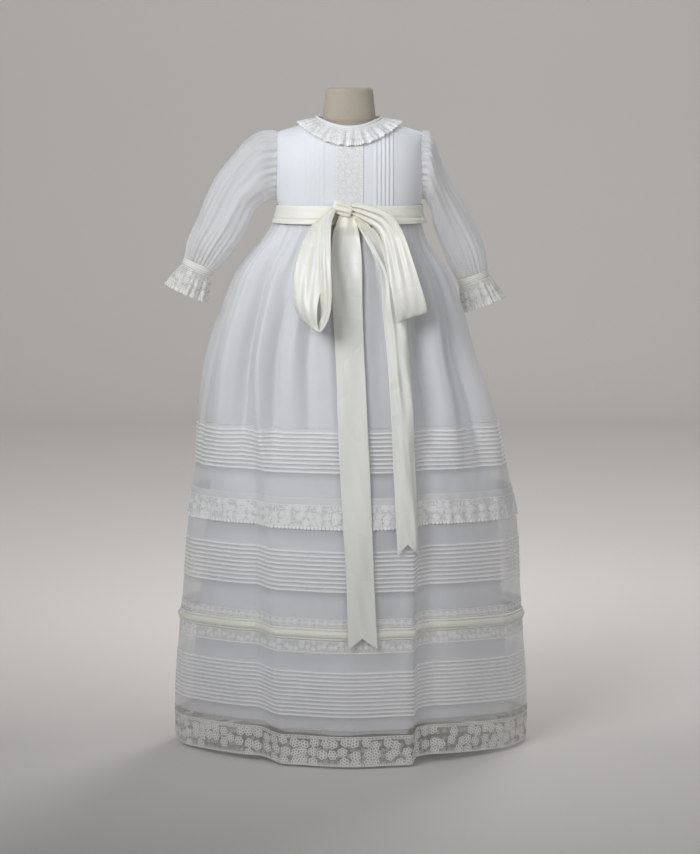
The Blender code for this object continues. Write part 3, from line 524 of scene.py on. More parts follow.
def front_panel(share, z):
    """Out and up: the middle of the front stands a step proud, and the cloth beside it is hitched up.

    The step is sharp on the right and soft on the left; both grow downwards. The hitch dies away
    towards the sides.
    """
    share, z = np.broadcast_arrays(share, z)
    down = np.clip(1 - z / 0.60, 0, 1)
    left, right = (at[0] + (at[1] - at[0]) * down for at in (PANEL_LEFT, PANEL_RIGHT))
    grown = ramp(down, 0.15, 0.6)
    out = PANEL_STEP * grown * ramp(share, left - 0.012, left + 0.012) * ramp(right - share, -0.003, 0.003)
    beside_right = ramp(share, right - 0.002, right + 0.005) * ramp(right + 0.15 - share, 0, 0.13)
    beside_left = ramp(left - share, -0.012, 0.03) * ramp(share, left - 0.17, left - 0.02)
    up = HITCH_HEIGHT * ramp(down, 0.2, 0.95) * (beside_right + 0.55 * beside_left)
    return out, up


def skirt(z, share, out=0.0, ripple=1.0):
    """Point of the skirt at a height and a share of the way round, moved out along the section's normal."""
    plain = section(z, share)
    proud, up = front_panel(share, z)
    lift = out + proud + long_folds(share, z) + drapes(share, z) + ripple * small_folds(share, z)
    return np.stack([plain[..., 0] + plain[..., 2] * lift, plain[..., 1] + plain[..., 3] * lift,
                     np.broadcast_to(z, plain.shape[:-1]) + up], axis=-1)


def girth(z):
    """Length round the skirt's section at a height."""
    return float(section(z, 0.0)[..., 4])


# The underskirt: opaque white cotton in two panels, cut narrower than the skirt, sewn into the same waist
# seam and hemmed behind the top of the hem lace. Its side edges show through the sheer skirt.
LINING_TOP, LINING_BOTTOM = 0.6685, 0.0370
LINING = table("z inset", (0.050, 0.023), (0.340, 0.024), (0.500, 0.018), (0.600, 0.010),
               (0.645, 0.0050), (0.669, 0.0024))


def cotton(place, u, v):
    """Fine even cotton: a close plain weave with slow changes of tone."""
    weave = (u.wave(0.0007) + v.wave(0.0007)) * 0.25 + 0.5
    cloud = place.noise(9.0, 3.0)
    return {"Base Color": cloud.colour((0.91, 0.92, 0.94), (0.94, 0.95, 0.965)),
            "Height": weave, "Depth": 0.0001}


lining_z = np.linspace(LINING_TOP, LINING_BOTTOM, 150)[:, None]
lining_share = np.arange(400) / 400
lining_fall = np.clip((0.60 - lining_z) / 0.5, 0, 1)
lining_turn = 2 * math.pi * (lining_share * 13 + 0.2 * np.sin(7 * lining_share))
lining_out = 0.0035 * lining_fall * np.sin(lining_turn) - along(LINING, "inset", lining_z)
lining = surface("underskirt_cotton", skirt(lining_z, lining_share, lining_out, 0.55),
                 finish("lining_cloth", 0.85, cotton), closed=True, across=np.linspace(0, girth(0.05), 401))
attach(lining, "root")
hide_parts("underskirt")


# The skirt: sheer organza, gathered into the waist seam, with groups of pin tucks pressed downwards. Each
# tuck is three layers of cloth, so it shows as a whiter line with a bright folded edge and a thin shadow.
GATHERS_TOP, GATHERS_BOTTOM = 0.6687, 0.4122
UPPER_TIER_TOP, BETWEEN_GROUPS, UPPER_TIER_BOTTOM = 0.4117, 0.312, 0.1845
LOWER_TIER_TOP, LOWER_TIER_BOTTOM = 0.1420, 0.0480
TUCK_GROUPS = table("top bottom count", (0.410, 0.358, 10), (0.268, 0.216, 10), (0.122, 0.064, 12))
TUCK_LIFT = 0.0009


def tier_rows(top, bottom, group, coarse=0.008):
    """Heights down a tier, their lift and their layers: plain cloth, tuck after tuck, and plain cloth."""
    pitch = (group["top"] - group["bottom"]) / group["count"]
    before = np.linspace(top, group["top"], max(int((top - group["top"]) / coarse), 1) + 1)[:-1]
    edges = group["top"] - pitch * np.arange(int(group["count"]))[:, None]
    tuck = edges + pitch * np.array((0.0, -0.54, -0.58, -0.80, -0.93, -0.955))
    after = np.linspace(group["bottom"], bottom, max(int((group["bottom"] - bottom) / coarse), 1) + 1)
    z = np.concatenate([before, tuck.ravel(), after])
    lift = np.tile(TUCK_LIFT * np.array((0.0, 0.25, 0.35, 0.9, 1.0, 0.85)), len(edges))
    layers = np.tile((0.0, 0.0, 1.0, 1.0, 1.0, 0.0), len(edges))
    plain = (len(before), len(after))
    return z, np.pad(lift, plain), np.pad(layers, plain)


def organza(place, u, v):
    """Sheer crisp organza: fine crossed threads over open cloth, whiter and denser where it is tucked."""
    tucked = u.add("ShaderNodeAttribute", {"attribute_name": "layers"}, {}, 2)
    threads = (u.wave(0.0012) * v.wave(0.0012)) * 0.5 + 0.5
    cloud = place.noise(14.0, 3.0)
    tone = cloud * 0.3 + tucked * 0.7
    return {"Base Color": tone.colour((0.83, 0.835, 0.86), (0.96, 0.96, 0.925)),
            "Alpha": (0.45 + threads * 0.06 + cloud * 0.08 + tucked * 0.32).least(1.0),
            "Roughness": cloud.step(0.2, 0.8, 0.55, 0.7), "Height": threads, "Depth": 0.00008}


organza_cloth = finish("organza", 0.6, organza, Sheen_Weight=0.2)
SKIRT_COLUMNS = 512
round_share = np.arange(SKIRT_COLUMNS) / SKIRT_COLUMNS


def skirt_piece(name, z, lift, layers, node):
    """One organza tier round the skirt, from its column of heights, lifts and layers."""
    z, lift, layers = (np.asarray(values, dtype=float)[:, None] for values in (z, lift, layers))
    piece = surface(name, skirt(z, round_share, lift), organza_cloth, closed=True,
                    across=np.linspace(0, girth(float(z.mean())), SKIRT_COLUMNS + 1), down=-z, layers=layers)
    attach(piece, "root")
    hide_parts(node)
    return piece


top_z = np.linspace(GATHERS_TOP, GATHERS_BOTTOM, 90)
top = skirt_piece("skirt_gathers", top_z, 0 * top_z, 0.25 * (top_z > 0.655), "skirt_top")
first, second, third = TUCK_GROUPS
first_rows = tier_rows(UPPER_TIER_TOP, BETWEEN_GROUPS, first)
second_rows = tier_rows(BETWEEN_GROUPS - 0.0003, UPPER_TIER_BOTTOM, second)
upper_rows = [np.concatenate(pair) for pair in zip(first_rows, second_rows)]
upper = skirt_piece("skirt_tier_upper", *upper_rows, "skirt_upper_tier")
lower_rows = tier_rows(LOWER_TIER_TOP, LOWER_TIER_BOTTOM, third)
lower = skirt_piece("skirt_tier_lower", *lower_rows, "skirt_lower_tier")


# The laces: ivory cotton net with worked flowers. One lies as a flat frill under the first tucks, two
# insertions are sewn between the tiers on each side of a satin cord, and a deep one edges the hem.
FRILL_TOP, FRILL_BOTTOM = 0.3290, 0.2905
UPPER_LACE_TOP, UPPER_LACE_BOTTOM = 0.1842, 0.1733
LOWER_LACE_TOP, LOWER_LACE_BOTTOM = 0.1577, 0.1423
HEM_LACE_TOP, HEM_LACE_BOTTOM = 0.0477, 0.0030


def flower(x, y, angle, size, petals, radius, soft, thin, full, middle):
    """Worked flower about x = y = 0: a ring round an open eye, and petals that are discs with a rim.

    The petals' centres lie 0.62 sizes from the flower's centre, at equal angles. Radius is a disc's own
    and soft the blur of its edge. Middle is its tone inside thin, which grows to 1 at full. All four
    are in sizes.
    """
    away, turn = (x * x + y * y).root(), angle.repeat(2 * math.pi / petals)
    along_petal, across_petal = away * turn.sum("COSINE") - 0.62 * size, away * turn.sum("SINE")
    from_petal = (along_petal * along_petal + across_petal * across_petal).root()
    petal = (radius * size - from_petal).step(-soft * size, 0.06 * size)
    rim = from_petal.step(thin * size, full * size, middle, 1.0)
    eye = abs(away - 0.22 * size).step(0.13 * size, 0.06 * size)
    return (petal * rim).most(eye)


def blossoms(u, v, row, size, pitch, start=0.0, petals=6):
    """Row of worked flowers at one height, a pitch apart."""
    x, y = u.repeat(pitch, start), v - row
    return flower(x, y, y.angle(x), size, petals, 0.40, 0.05, 0.10, 0.26, 0.62)


def scattered(u, v, size, pitch, top, bottom, petals=6):
    """Worked flowers strewn between two heights: one in each cell of a loose grid, turned by its place."""
    flat = u.add("ShaderNodeCombineXYZ", {}, {0: u, 1: v})
    cell = {"Vector": flat, "Scale": 1 / pitch, "Randomness": 0.55}
    middle = u.add("ShaderNodeTexVoronoi", {"voronoi_dimensions": "2D"}, cell, 2)
    middle_u = u.add("ShaderNodeSeparateXYZ", {}, {0: middle}, 0)
    middle_v = u.add("ShaderNodeSeparateXYZ", {}, {0: middle}, 1)
    x, y = u - middle_u, v - middle_v
    inside = middle_v.step(top, top + 0.0005) * middle_v.step(bottom, bottom - 0.0005)
    return flower(x, y, y.angle(x) + middle_u * 900.0, size, petals, 0.42, 0.06, 0.08, 0.24, 0.42) * inside


def net(u, v, mesh=0.0014):
    """Open ground of crossed slanting threads, as worked net has."""
    one, other = (u + v * 0.58).repeat(mesh), (u - v * 0.58).repeat(mesh)
    return abs(one).step(0.36 * mesh, 0.12 * mesh).most(abs(other).step(0.36 * mesh, 0.12 * mesh))


def picots(u, foot, pitch):
    """Beads of thread along an edge, and the line of stitches that they hang from."""
    x, y = u.repeat(pitch), foot - 0.5 * pitch
    bead = (x * x + y * y).root().step(0.54 * pitch, 0.42 * pitch)
    return bead.most(abs(foot - 1.15 * pitch).step(0.30 * pitch, 0.16 * pitch) * 0.8), bead


def lace_finish(name, width, rows, ground, strewn=None, edge=0.0, header=0.0, both=False,
                white=(0.93, 0.93, 0.91), dark=(0.80, 0.80, 0.79)):
    """Lace of a given width: net, rows of flowers (row, size, pitch) with small ones between, and its edges.

    Ground is how much the net covers, strewn the size, pitch, top and bottom of scattered flowers, edge
    the pitch of the picots at the foot, and header a plain strip at the head. Both sets picots on each
    side. White is the colour of the worked parts and dark that of the ground.
    """
    def worked(place, u, v):
        across, down = u + (place.noise(70.0) - 0.5) * 0.004, v + (place.noise(60.0, 1.0) - 0.5) * 0.003
        stitches = place.noise(420.0, 1.0).step(0.50, 0.62)
        motif = abs(v - 0.0008 - header).step(0.0009, 0.0004)
        for number, (row, size, pitch) in enumerate(rows):
            start = 0.43 * pitch * number
            small, low, aside = 0.55 * size, row + 0.25 * size, start + 0.5 * pitch
            motif = motif.most(blossoms(across, down, row, size, pitch, start))
            motif = motif.most(blossoms(across, down, low, small, pitch, aside, 5))
        if strewn:
            size, pitch, top, bottom = strewn
            motif = motif.most(scattered(across, down, size, pitch, top, bottom))
            motif = motif.most(scattered(across + 0.3, down, 0.5 * size, 0.6 * pitch, top, bottom, 5) * 0.72)
        foot, inside = width - v, 1.0
        if edge:
            line, bead = picots(u, foot, edge)
            inside = foot.step(0.48 * edge, 0.52 * edge).most(bead)
            motif = motif.most(line)
        if both:
            line, bead = picots(u, v, edge)
            inside = inside * v.step(0.48 * edge, 0.52 * edge).most(bead)
            motif = motif.most(line)
        if not edge:
            motif = motif.most(foot.step(0.0013, 0.0007))
        filling = stitches * (0.55 if ground > 0.5 else 0.25) * v.step(header, header + 0.002)
        worked_part = motif.most(filling)
        return {"Base Color": (worked_part * 0.8 + place.noise(60.0) * 0.2).colour(dark, white),
                "Alpha": (motif * 0.96).most(net(u, v) * 0.25 + filling * 0.5 + ground).least(1.0) * inside,
                "Height": worked_part, "Depth": 0.0004}

    return finish(name, 0.85, worked)


frill_lace = lace_finish("frill_lace", 0.0385, (), 0.55, strewn=(0.0043, 0.0092, 0.0115, 0.0320),
                         edge=0.0046, header=0.0085)
insertion_lace = lace_finish("insertion_lace", 0.0150, (), 0.5, strewn=(0.0032, 0.0070, 0.0020, 0.0130))
narrow_lace = lace_finish("narrow_lace", 0.0109, ((0.0055, 0.0034, 0.0093),), 0.5)
deep_lace = lace_finish("deep_lace", 0.0450, ((0.0098, 0.0021, 0.0047),), 0.26,
                        strewn=(0.0061, 0.0126, 0.0125, 0.0425), edge=0.0030, header=0.0070,
                        white=(0.84, 0.83, 0.81), dark=(0.58, 0.55, 0.50))


def lace_band(name, top_z, bottom_z, lift, material, node):
    """Band of lace round the skirt at a lift, with its pattern measured down from its own top edge."""
    z = np.linspace(top_z, bottom_z, int((top_z - bottom_z) / 0.0022) + 2)[:, None]
    piece = surface(name, skirt(z, round_share, lift(z)), material, closed=True,
                    across=np.linspace(0, girth(bottom_z), SKIRT_COLUMNS + 1), down=top_z - z)
    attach(piece, "root")
    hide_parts(node)
    girth(bottom_z)
    return piece


def frill_lift(z):
    """The frill lies on the skirt at its head and stands off a little at its edge, in small waves."""
    down = np.clip((FRILL_TOP - z) / 0.039, 0, 1)
    waves = np.sin(2 * math.pi * (round_share * 58 + 0.3 * np.sin(2 * math.pi * round_share * 5)))
    return 0.0008 + 0.0012 * down + 0.0009 * down * waves


def sewn_flat(z):
    """An insertion lies 0.2 mm outside the cloth that it joins."""
    return 0.0002 + 0 * z


def hem_lift(z):
    """The hem lace lies 0.6 mm outside the cloth, over its seam."""
    return 0.0006 + 0 * z


lace_band("skirt_lace_frill", FRILL_TOP, FRILL_BOTTOM, frill_lift, frill_lace, "lace_frill")
lace_band("skirt_lace_upper", UPPER_LACE_TOP, UPPER_LACE_BOTTOM, sewn_flat, narrow_lace,
          "lace_insertion_upper")
lace_band("skirt_lace_lower", LOWER_LACE_TOP, LOWER_LACE_BOTTOM, sewn_flat, insertion_lace,
          "lace_insertion_lower")
lace_band("hem_deep_lace", HEM_LACE_TOP, HEM_LACE_BOTTOM, hem_lift, deep_lace, "hem_lace")


# The satin cord: a bias strip of cream satin rolled round a filler and sewn over the seam between the two
# insertions. Its edges show as a thin ridge above and below the main roll.
CORD_Z, CORD_HALF_WIDTH = 0.1655, 0.0072


def satin(place, u, v):
    """Satin: fine threads along the cloth, barely raised, and slow changes of tone."""
    thread = (v + place.noise(300.0) * 0.0002).wave(0.00045) * 0.5 + 0.5
    cloud = place.noise(11.0, 2.0)
    return {"Base Color": cloud.colour((0.81, 0.80, 0.71), (0.87, 0.86, 0.79)),
            "Roughness": cloud.step(0.2, 0.8, 0.26, 0.36), "Height": thread, "Depth": 0.00004}


soft_satin = finish("satin", 0.3, satin, Sheen_Weight=0.1, Specular_IOR_Level=0.6)
cord_turn = np.linspace(math.pi / 2, -math.pi / 2, 26)
cord_across = np.sin(cord_turn)
cord_rise = (0.0030 * np.sqrt(np.clip(1 - ((cord_across + 0.10) / 0.58) ** 2, 0, 1))
             + 0.0016 * np.exp(-((cord_across - 0.72) / 0.16) ** 2)
             + 0.0014 * np.exp(-((cord_across + 0.86) / 0.12) ** 2) + 0.0003)[:, None]
cord_twist = 0.00035 * np.sin(2 * math.pi * (round_share * 150) + 2.2 * cord_turn[:, None])
cord_points = skirt(CORD_Z + CORD_HALF_WIDTH * cord_across[:, None], round_share, cord_rise + cord_twist)
cord = surface("satin_rouleau", cord_points, soft_satin, closed=True,
               across=np.linspace(0, girth(0.165), SKIRT_COLUMNS + 1))
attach(cord, "root")
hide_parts("satin_cord")


# The bodice front: fine white batiste, smooth at the sides and with five pin tucks pressed away from the
# centre on each side, each tuck stitched along its fold. The armholes and the neck are cut in curves.
BODICE_THICK = 0.0005
ARMHOLE_MIDDLE, ARMHOLE_HALF_HEIGHT, ARMHOLE_HALF_DEPTH = 0.728, 0.040, 0.027
FRONT_NECK_Z, BACK_NECK_Z = 0.7724, 0.781
BODICE_TUCK_START, BODICE_TUCK_PITCH, BODICE_TUCKS = 0.029, 0.005, 5
MIDDLE_COLUMNS, SIDE_COLUMNS = 16, 40


def armhole_depth(z):
    """Half depth of the armhole at a height: a circle squeezed into an oval."""
    return ARMHOLE_HALF_DEPTH * np.sqrt(1 - np.clip((z - ARMHOLE_MIDDLE) / ARMHOLE_HALF_HEIGHT, -1, 1) ** 2)


def figure_edge(z, depth):
    """Distance x where the figure is only as deep as given, found by halving the interval 30 times."""
    z = np.minimum(z, SHOULDER_TIP_Z)
    low, high = np.zeros(z.shape), along(FIGURE, "half_width", z)
    for _ in range(30):
        middle = (low + high) / 2
        inside = figure_depth(middle, z, 0, 0) > depth
        low, high = np.where(inside, middle, low), np.where(inside, high, middle)
    return low


def bodice_points(rows, inner_x, outer_share, facing, middle, lift=0.0):
    """Bodice points: rows go from the waist to the neck or shoulder, columns out to the armhole or side.

    A column starts inner_x from the centre and moves outer_share of the way out; its top is the neck
    curve near the centre and the shoulder line further out. Facing is -1 in front and 1 behind.
    """
    rows = np.asarray(rows)[:, None]
    sides = np.where(inner_x + outer_share < 0, -1, 1)
    inner_x, outer_share = np.abs(inner_x), np.abs(outer_share)
    top_x = inner_x + outer_share * (SHOULDER_TIP_X - inner_x)
    neck = middle + (NECK_POINT_Z - middle) * np.clip(top_x / NECK_POINT_X, 0, 1) ** 2
    top = np.where(top_x < NECK_POINT_X, neck, shoulder_line(top_x))
    z = WAIST + rows * (top - WAIST)
    x = inner_x + outer_share * (figure_edge(z, armhole_depth(z)) - inner_x)
    depth = np.where(outer_share > 0.9999, armhole_depth(z), figure_depth(x, z, 0, 0))
    return np.stack([x * sides, facing * (depth + lift + 0.00015), z + 0 * x], axis=2)


def batiste(place, u, v):
    """Batiste: a fine plain weave with a soft bloom."""
    weave = (u.wave(0.0006) + v.wave(0.0006)) * 0.25 + 0.5
    cloud = place.noise(18.0, 3.0)
    return {"Base Color": cloud.colour((0.80, 0.815, 0.85), (0.89, 0.90, 0.925)),
            "Height": weave + cloud * 0.5, "Depth": 0.00012}


def closing_in(turning, even, slow):
    """Numbers from 0 to 1: even steps up to the turning value, then ever shorter ones."""
    last = turning + (1 - turning) * np.sin(np.linspace(0, math.pi / 2, slow))
    return np.concatenate([np.linspace(0, turning, even)[:-1], last])


def thicken(piece, thickness):
    """Gives a cloth surface its thickness on the inside."""
    wall = piece.modifiers.new("cloth_thickness", "SOLIDIFY")
    wall.thickness, wall.offset, wall.use_even_offset = thickness, -1, False
    return piece


batiste_cloth = finish("batiste", 0.85, batiste, Sheen_Weight=0.15)
down_rows = closing_in(0.9, 70, 24)
tuck_share = np.array((0.0, 0.30, 0.60, 0.84, 0.90, 0.93))
tuck_rise = TUCK_LIFT * np.array((0.0, 0.35, 0.7, 1.0, 0.9, 0.3))
tuck_edges = BODICE_TUCK_START + BODICE_TUCK_PITCH * np.arange(BODICE_TUCKS)[:, None]
tuck_end = BODICE_TUCK_START + BODICE_TUCK_PITCH * BODICE_TUCKS
tuck_x = (tuck_edges + BODICE_TUCK_PITCH * tuck_share).ravel()
half_x = np.concatenate([np.linspace(0.0, 0.0285, MIDDLE_COLUMNS), tuck_x, np.full(SIDE_COLUMNS, tuck_end)])
half_share = np.concatenate([np.zeros(MIDDLE_COLUMNS + tuck_x.size),
                             np.sin(np.linspace(0, math.pi / 2, SIDE_COLUMNS))])
half_rise = np.pad(np.tile(tuck_rise, BODICE_TUCKS), (MIDDLE_COLUMNS, SIDE_COLUMNS))
front_x = np.concatenate([-half_x[:0:-1], half_x])
front_share = np.concatenate([-half_share[:0:-1], half_share])
front_rise = np.concatenate([half_rise[:0:-1], half_rise])
front_points = bodice_points(down_rows, front_x, front_share, -1, FRONT_NECK_Z, front_rise)
bodice_front = thicken(surface("batiste_front", front_points, batiste_cloth, facing=(0, -1, 0)), BODICE_THICK)
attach(bodice_front, "root")
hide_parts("bodice_front")


# The bodice back: two plain batiste halves that meet at the centre and close with three small pearly
# buttons, each a low dome with a flat back that is sewn on at the closing edge.
back_share = closing_in(0.7, 40, 30)
for name, side in (("left", -1), ("right", 1)):
    start = np.full(len(back_share), 0.0002)
    back_points = bodice_points(down_rows, side * start, side * back_share, 1, BACK_NECK_Z)
    back = surface("batiste_back_" + name, back_points, batiste_cloth, facing=(0, 1, 0))
    thicken(back, BODICE_THICK)
    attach(back, "root")
    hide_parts("bodice_back_" + name)


def button_pearl(place, u, v):
    """Pearly resin with faint bands of warm and cool white."""
    cloud = place.noise(260.0)
    return {"Base Color": cloud.colour((0.80, 0.78, 0.74), (0.90, 0.90, 0.90)),
            "Roughness": cloud.step(0, 1, 0.15, 0.3)}


def facing_back(name, profile, centre, columns, material):
    """Turned surface whose axis points along +Y: a profile of (radius, distance out) about a centre."""
    turns = np.linspace(0, 2 * math.pi, columns, endpoint=False)
    radius, out = np.array(profile).T
    points = np.stack([radius[:, None] * np.cos(turns), out[:, None] + 0 * turns,
                       radius[:, None] * np.sin(turns)], axis=2) + np.array(centre)
    return close_poles(surface(name, points, material, closed=True))


pearl = finish("pearl", 0.2, button_pearl, Coat_Weight=0.3)
dome = [(0.004 * math.sin(a), 0.0009 + 0.0010 * math.cos(a)) for a in np.linspace(0, math.pi / 2, 14)]
button_profile = dome + [(0.0038, 0.0004), (0.0030, 0.0), (0.0, 0.0)]
for number in (1, 2, 3):
    low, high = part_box("back_button_%d" % number)
    centre = ((low[0] + high[0]) / 2, low[1], (low[2] + high[2]) / 2)
    button = facing_back("pearl_button_%d" % number, button_profile, centre, 40, pearl)
    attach(button, "root")
    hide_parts("back_button_%d" % number)


# The lace panel: a strip of white lace with a beaded edge on both sides, laid down the middle of the front
# and sewn along its sides between the tucks.
panel_lace = lace_finish("panel_lace", 0.0350, (), 0.75, strewn=(0.0034, 0.0078, 0.0050, 0.0300), edge=0.0032,
                         both=True, white=(0.90, 0.90, 0.88), dark=(0.83, 0.835, 0.845))
LACE_PANEL_HALF_WIDTH = 0.0175
panel_rows = np.linspace(0.10, 0.985, 70)
panel_x = np.linspace(-LACE_PANEL_HALF_WIDTH, LACE_PANEL_HALF_WIDTH, 30)
panel_points = bodice_points(panel_rows, panel_x + 1e-6, 0 * panel_x, -1, FRONT_NECK_Z, 0.0008)
panel = surface("lace_panel", panel_points.transpose(1, 0, 2), panel_lace, facing=(0, -1, 0),
                across=lengths(panel_points[:, 15]), down=(panel_x + LACE_PANEL_HALF_WIDTH)[:, None])
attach(panel, "root")
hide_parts("bodice_lace_panel")


# The neck: the raw edge is bound with a narrow rolled strip of batiste, and a gathered ivory lace stands
# out round it as a soft collar, open at the centre back.
def collar_points(turn, reach, lift):
    """Point a reach outside the neckline, lifted off the bodice; turn starts from the centre front."""
    turn, reach, lift = np.broadcast_arrays(turn, reach, lift)
    radius = NECK_POINT_X + reach
    front = np.cos(turn) > 0
    middle = np.where(front, FRONT_NECK_Z, BACK_NECK_Z) - reach
    x = radius * np.sin(turn)
    shoulder = shoulder_line(radius)
    z = shoulder - (shoulder - middle) * np.cos(turn) ** 2
    depth = figure_depth(x, z, 0, 0) * np.clip(np.abs(np.cos(turn)) * 1e4, 0, 1)
    y = np.where(front, -1, 1) * depth
    slope = np.stack([x * 0.4, y, 0.03 + 0 * x], axis=-1)
    slope /= np.linalg.norm(slope, axis=-1, keepdims=True)
    return np.stack([x, y, z], axis=-1) + slope * lift[..., None]


BACK_GAP_TURN = 0.02
collar_turn = np.linspace(-math.pi + BACK_GAP_TURN, math.pi - BACK_GAP_TURN, 560)
roll = np.linspace(0, 2 * math.pi, 14)[:, None]
binding_points = collar_points(collar_turn, 0.0006 + 0.0011 * np.cos(roll), 0.0004 + 0 * roll)
binding_points[..., 2] += 0.0026 + 0.0020 * np.sin(roll)
binding = surface("neck_roll", binding_points, batiste_cloth, across=collar_turn * 0.04, down=roll * 0.002)
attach(binding, "root")
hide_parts("neck_binding")

collar_lace = lace_finish("collar_lace", 0.0215, (), 0.66, strewn=(0.0036, 0.0082, 0.0030, 0.0180),
                          edge=0.0042)
COLLAR_START, COLLAR_WIDTH = 0.0008, 0.0214
collar_down = np.linspace(0, 1, 26)[:, None]
collar_reach = COLLAR_START + COLLAR_WIDTH * collar_down
collar_wave = np.sin(collar_turn * 27 + 0.9 * np.sin(collar_turn * 5)) + 0.5 * np.sin(collar_turn * 43 + 1)
collar_lift = 0.0030 + 0.0018 * collar_down + 0.0016 * collar_down * collar_wave
collar = surface("lace_collar", collar_points(collar_turn, collar_reach, collar_lift), collar_lace,
                 across=(collar_turn + math.pi) * 0.085, down=COLLAR_WIDTH * collar_down)
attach(collar, "root")
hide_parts("collar_lace")


# The sleeves: long and sheer, gathered into the armhole and again into a narrow cuff, which is a row of
# worked holes with a frill of ivory lace below it. The left one stands out more, and the right one hangs
# a little back.
SLEEVES = {
    "left": table("x y z half_across half_depth lean",
                  (-0.0930, 0.000, 0.728, 0.0415, 0.0285, 0),
                  (-0.1030, 0.000, 0.726, 0.0425, 0.0350, 10),
                  (-0.1125, 0.000, 0.721, 0.0400, 0.0380, 20),
                  (-0.1240, 0.000, 0.709, 0.0345, 0.0380, 38),
                  (-0.1380, 0.000, 0.694, 0.0310, 0.0360, 50),
                  (-0.1490, 0.000, 0.673, 0.0300, 0.0340, 58),
                  (-0.1600, 0.001, 0.651, 0.0290, 0.0330, 62),
                  (-0.1750, 0.002, 0.627, 0.0265, 0.0290, 64),
                  (-0.1860, 0.003, 0.606, 0.0205, 0.0205, 66)),
    "right": table("x y z half_across half_depth lean",
                   (0.0930, 0.000, 0.728, 0.0415, 0.0285, 0),
                   (0.0985, 0.001, 0.7245, 0.0405, 0.0340, 6),
                   (0.1045, 0.005, 0.7080, 0.0290, 0.0370, 17),
                   (0.1125, 0.012, 0.690, 0.0215, 0.0370, 34),
                   (0.1220, 0.019, 0.668, 0.0230, 0.0350, 50),
                   (0.1330, 0.026, 0.645, 0.0240, 0.0330, 56),
                   (0.1460, 0.033, 0.616, 0.0245, 0.0290, 62),
                   (0.1545, 0.037, 0.590, 0.0200, 0.0205, 70))}
CUFF_DEPTH, CUFF_FRILL_DEPTH, CUFF_FRILL_FLARE = 0.008, 0.033, 0.008


def between(rows, at):
    """All columns of a table at fractional row numbers, along a smooth curve through its rows."""
    values = np.array([list(row) for row in rows.tolist()])
    slopes = np.gradient(values, axis=0)
    low = np.clip(at.astype(int), 0, len(values) - 2)
    mixed = eased(values[low], values[low + 1], slopes[low], slopes[low + 1], (at - low)[:, None])
    return mixed[:, None, :].transpose(2, 0, 1)


def arm_rings(x, y, z, half_across, half_depth, lean, turns, lift):
    """Ovals across the arm, each leaned from upright and let out by a lift; turns start at the top."""
    lean, side = np.radians(lean), np.sign(x)
    across, depth = (half_across + lift) * np.cos(turns), (half_depth + lift) * np.sin(turns)
    places = np.broadcast_arrays(x + side * np.sin(lean) * across, y + depth, z + np.cos(lean) * across)
    return np.stack(places, axis=2)


def cuff_cloth(place, u, v):
    """Cuff band: a row of round worked holes between two corded edges, ivory."""
    x, y = u.repeat(0.0026), v - 0.004
    away = (x * x + y * y).root()
    bead = away.step(0.0014, 0.0010) * away.step(0.0004, 0.0007, 0.3, 1.0)
    cord_line = abs(abs(v - 0.004) - 0.0030).step(0.0008, 0.0004)
    raised = bead.most(cord_line * 0.6)
    return {"Base Color": raised.colour((0.78, 0.77, 0.71), (0.93, 0.92, 0.87)),
            "Height": raised, "Depth": 0.0003}


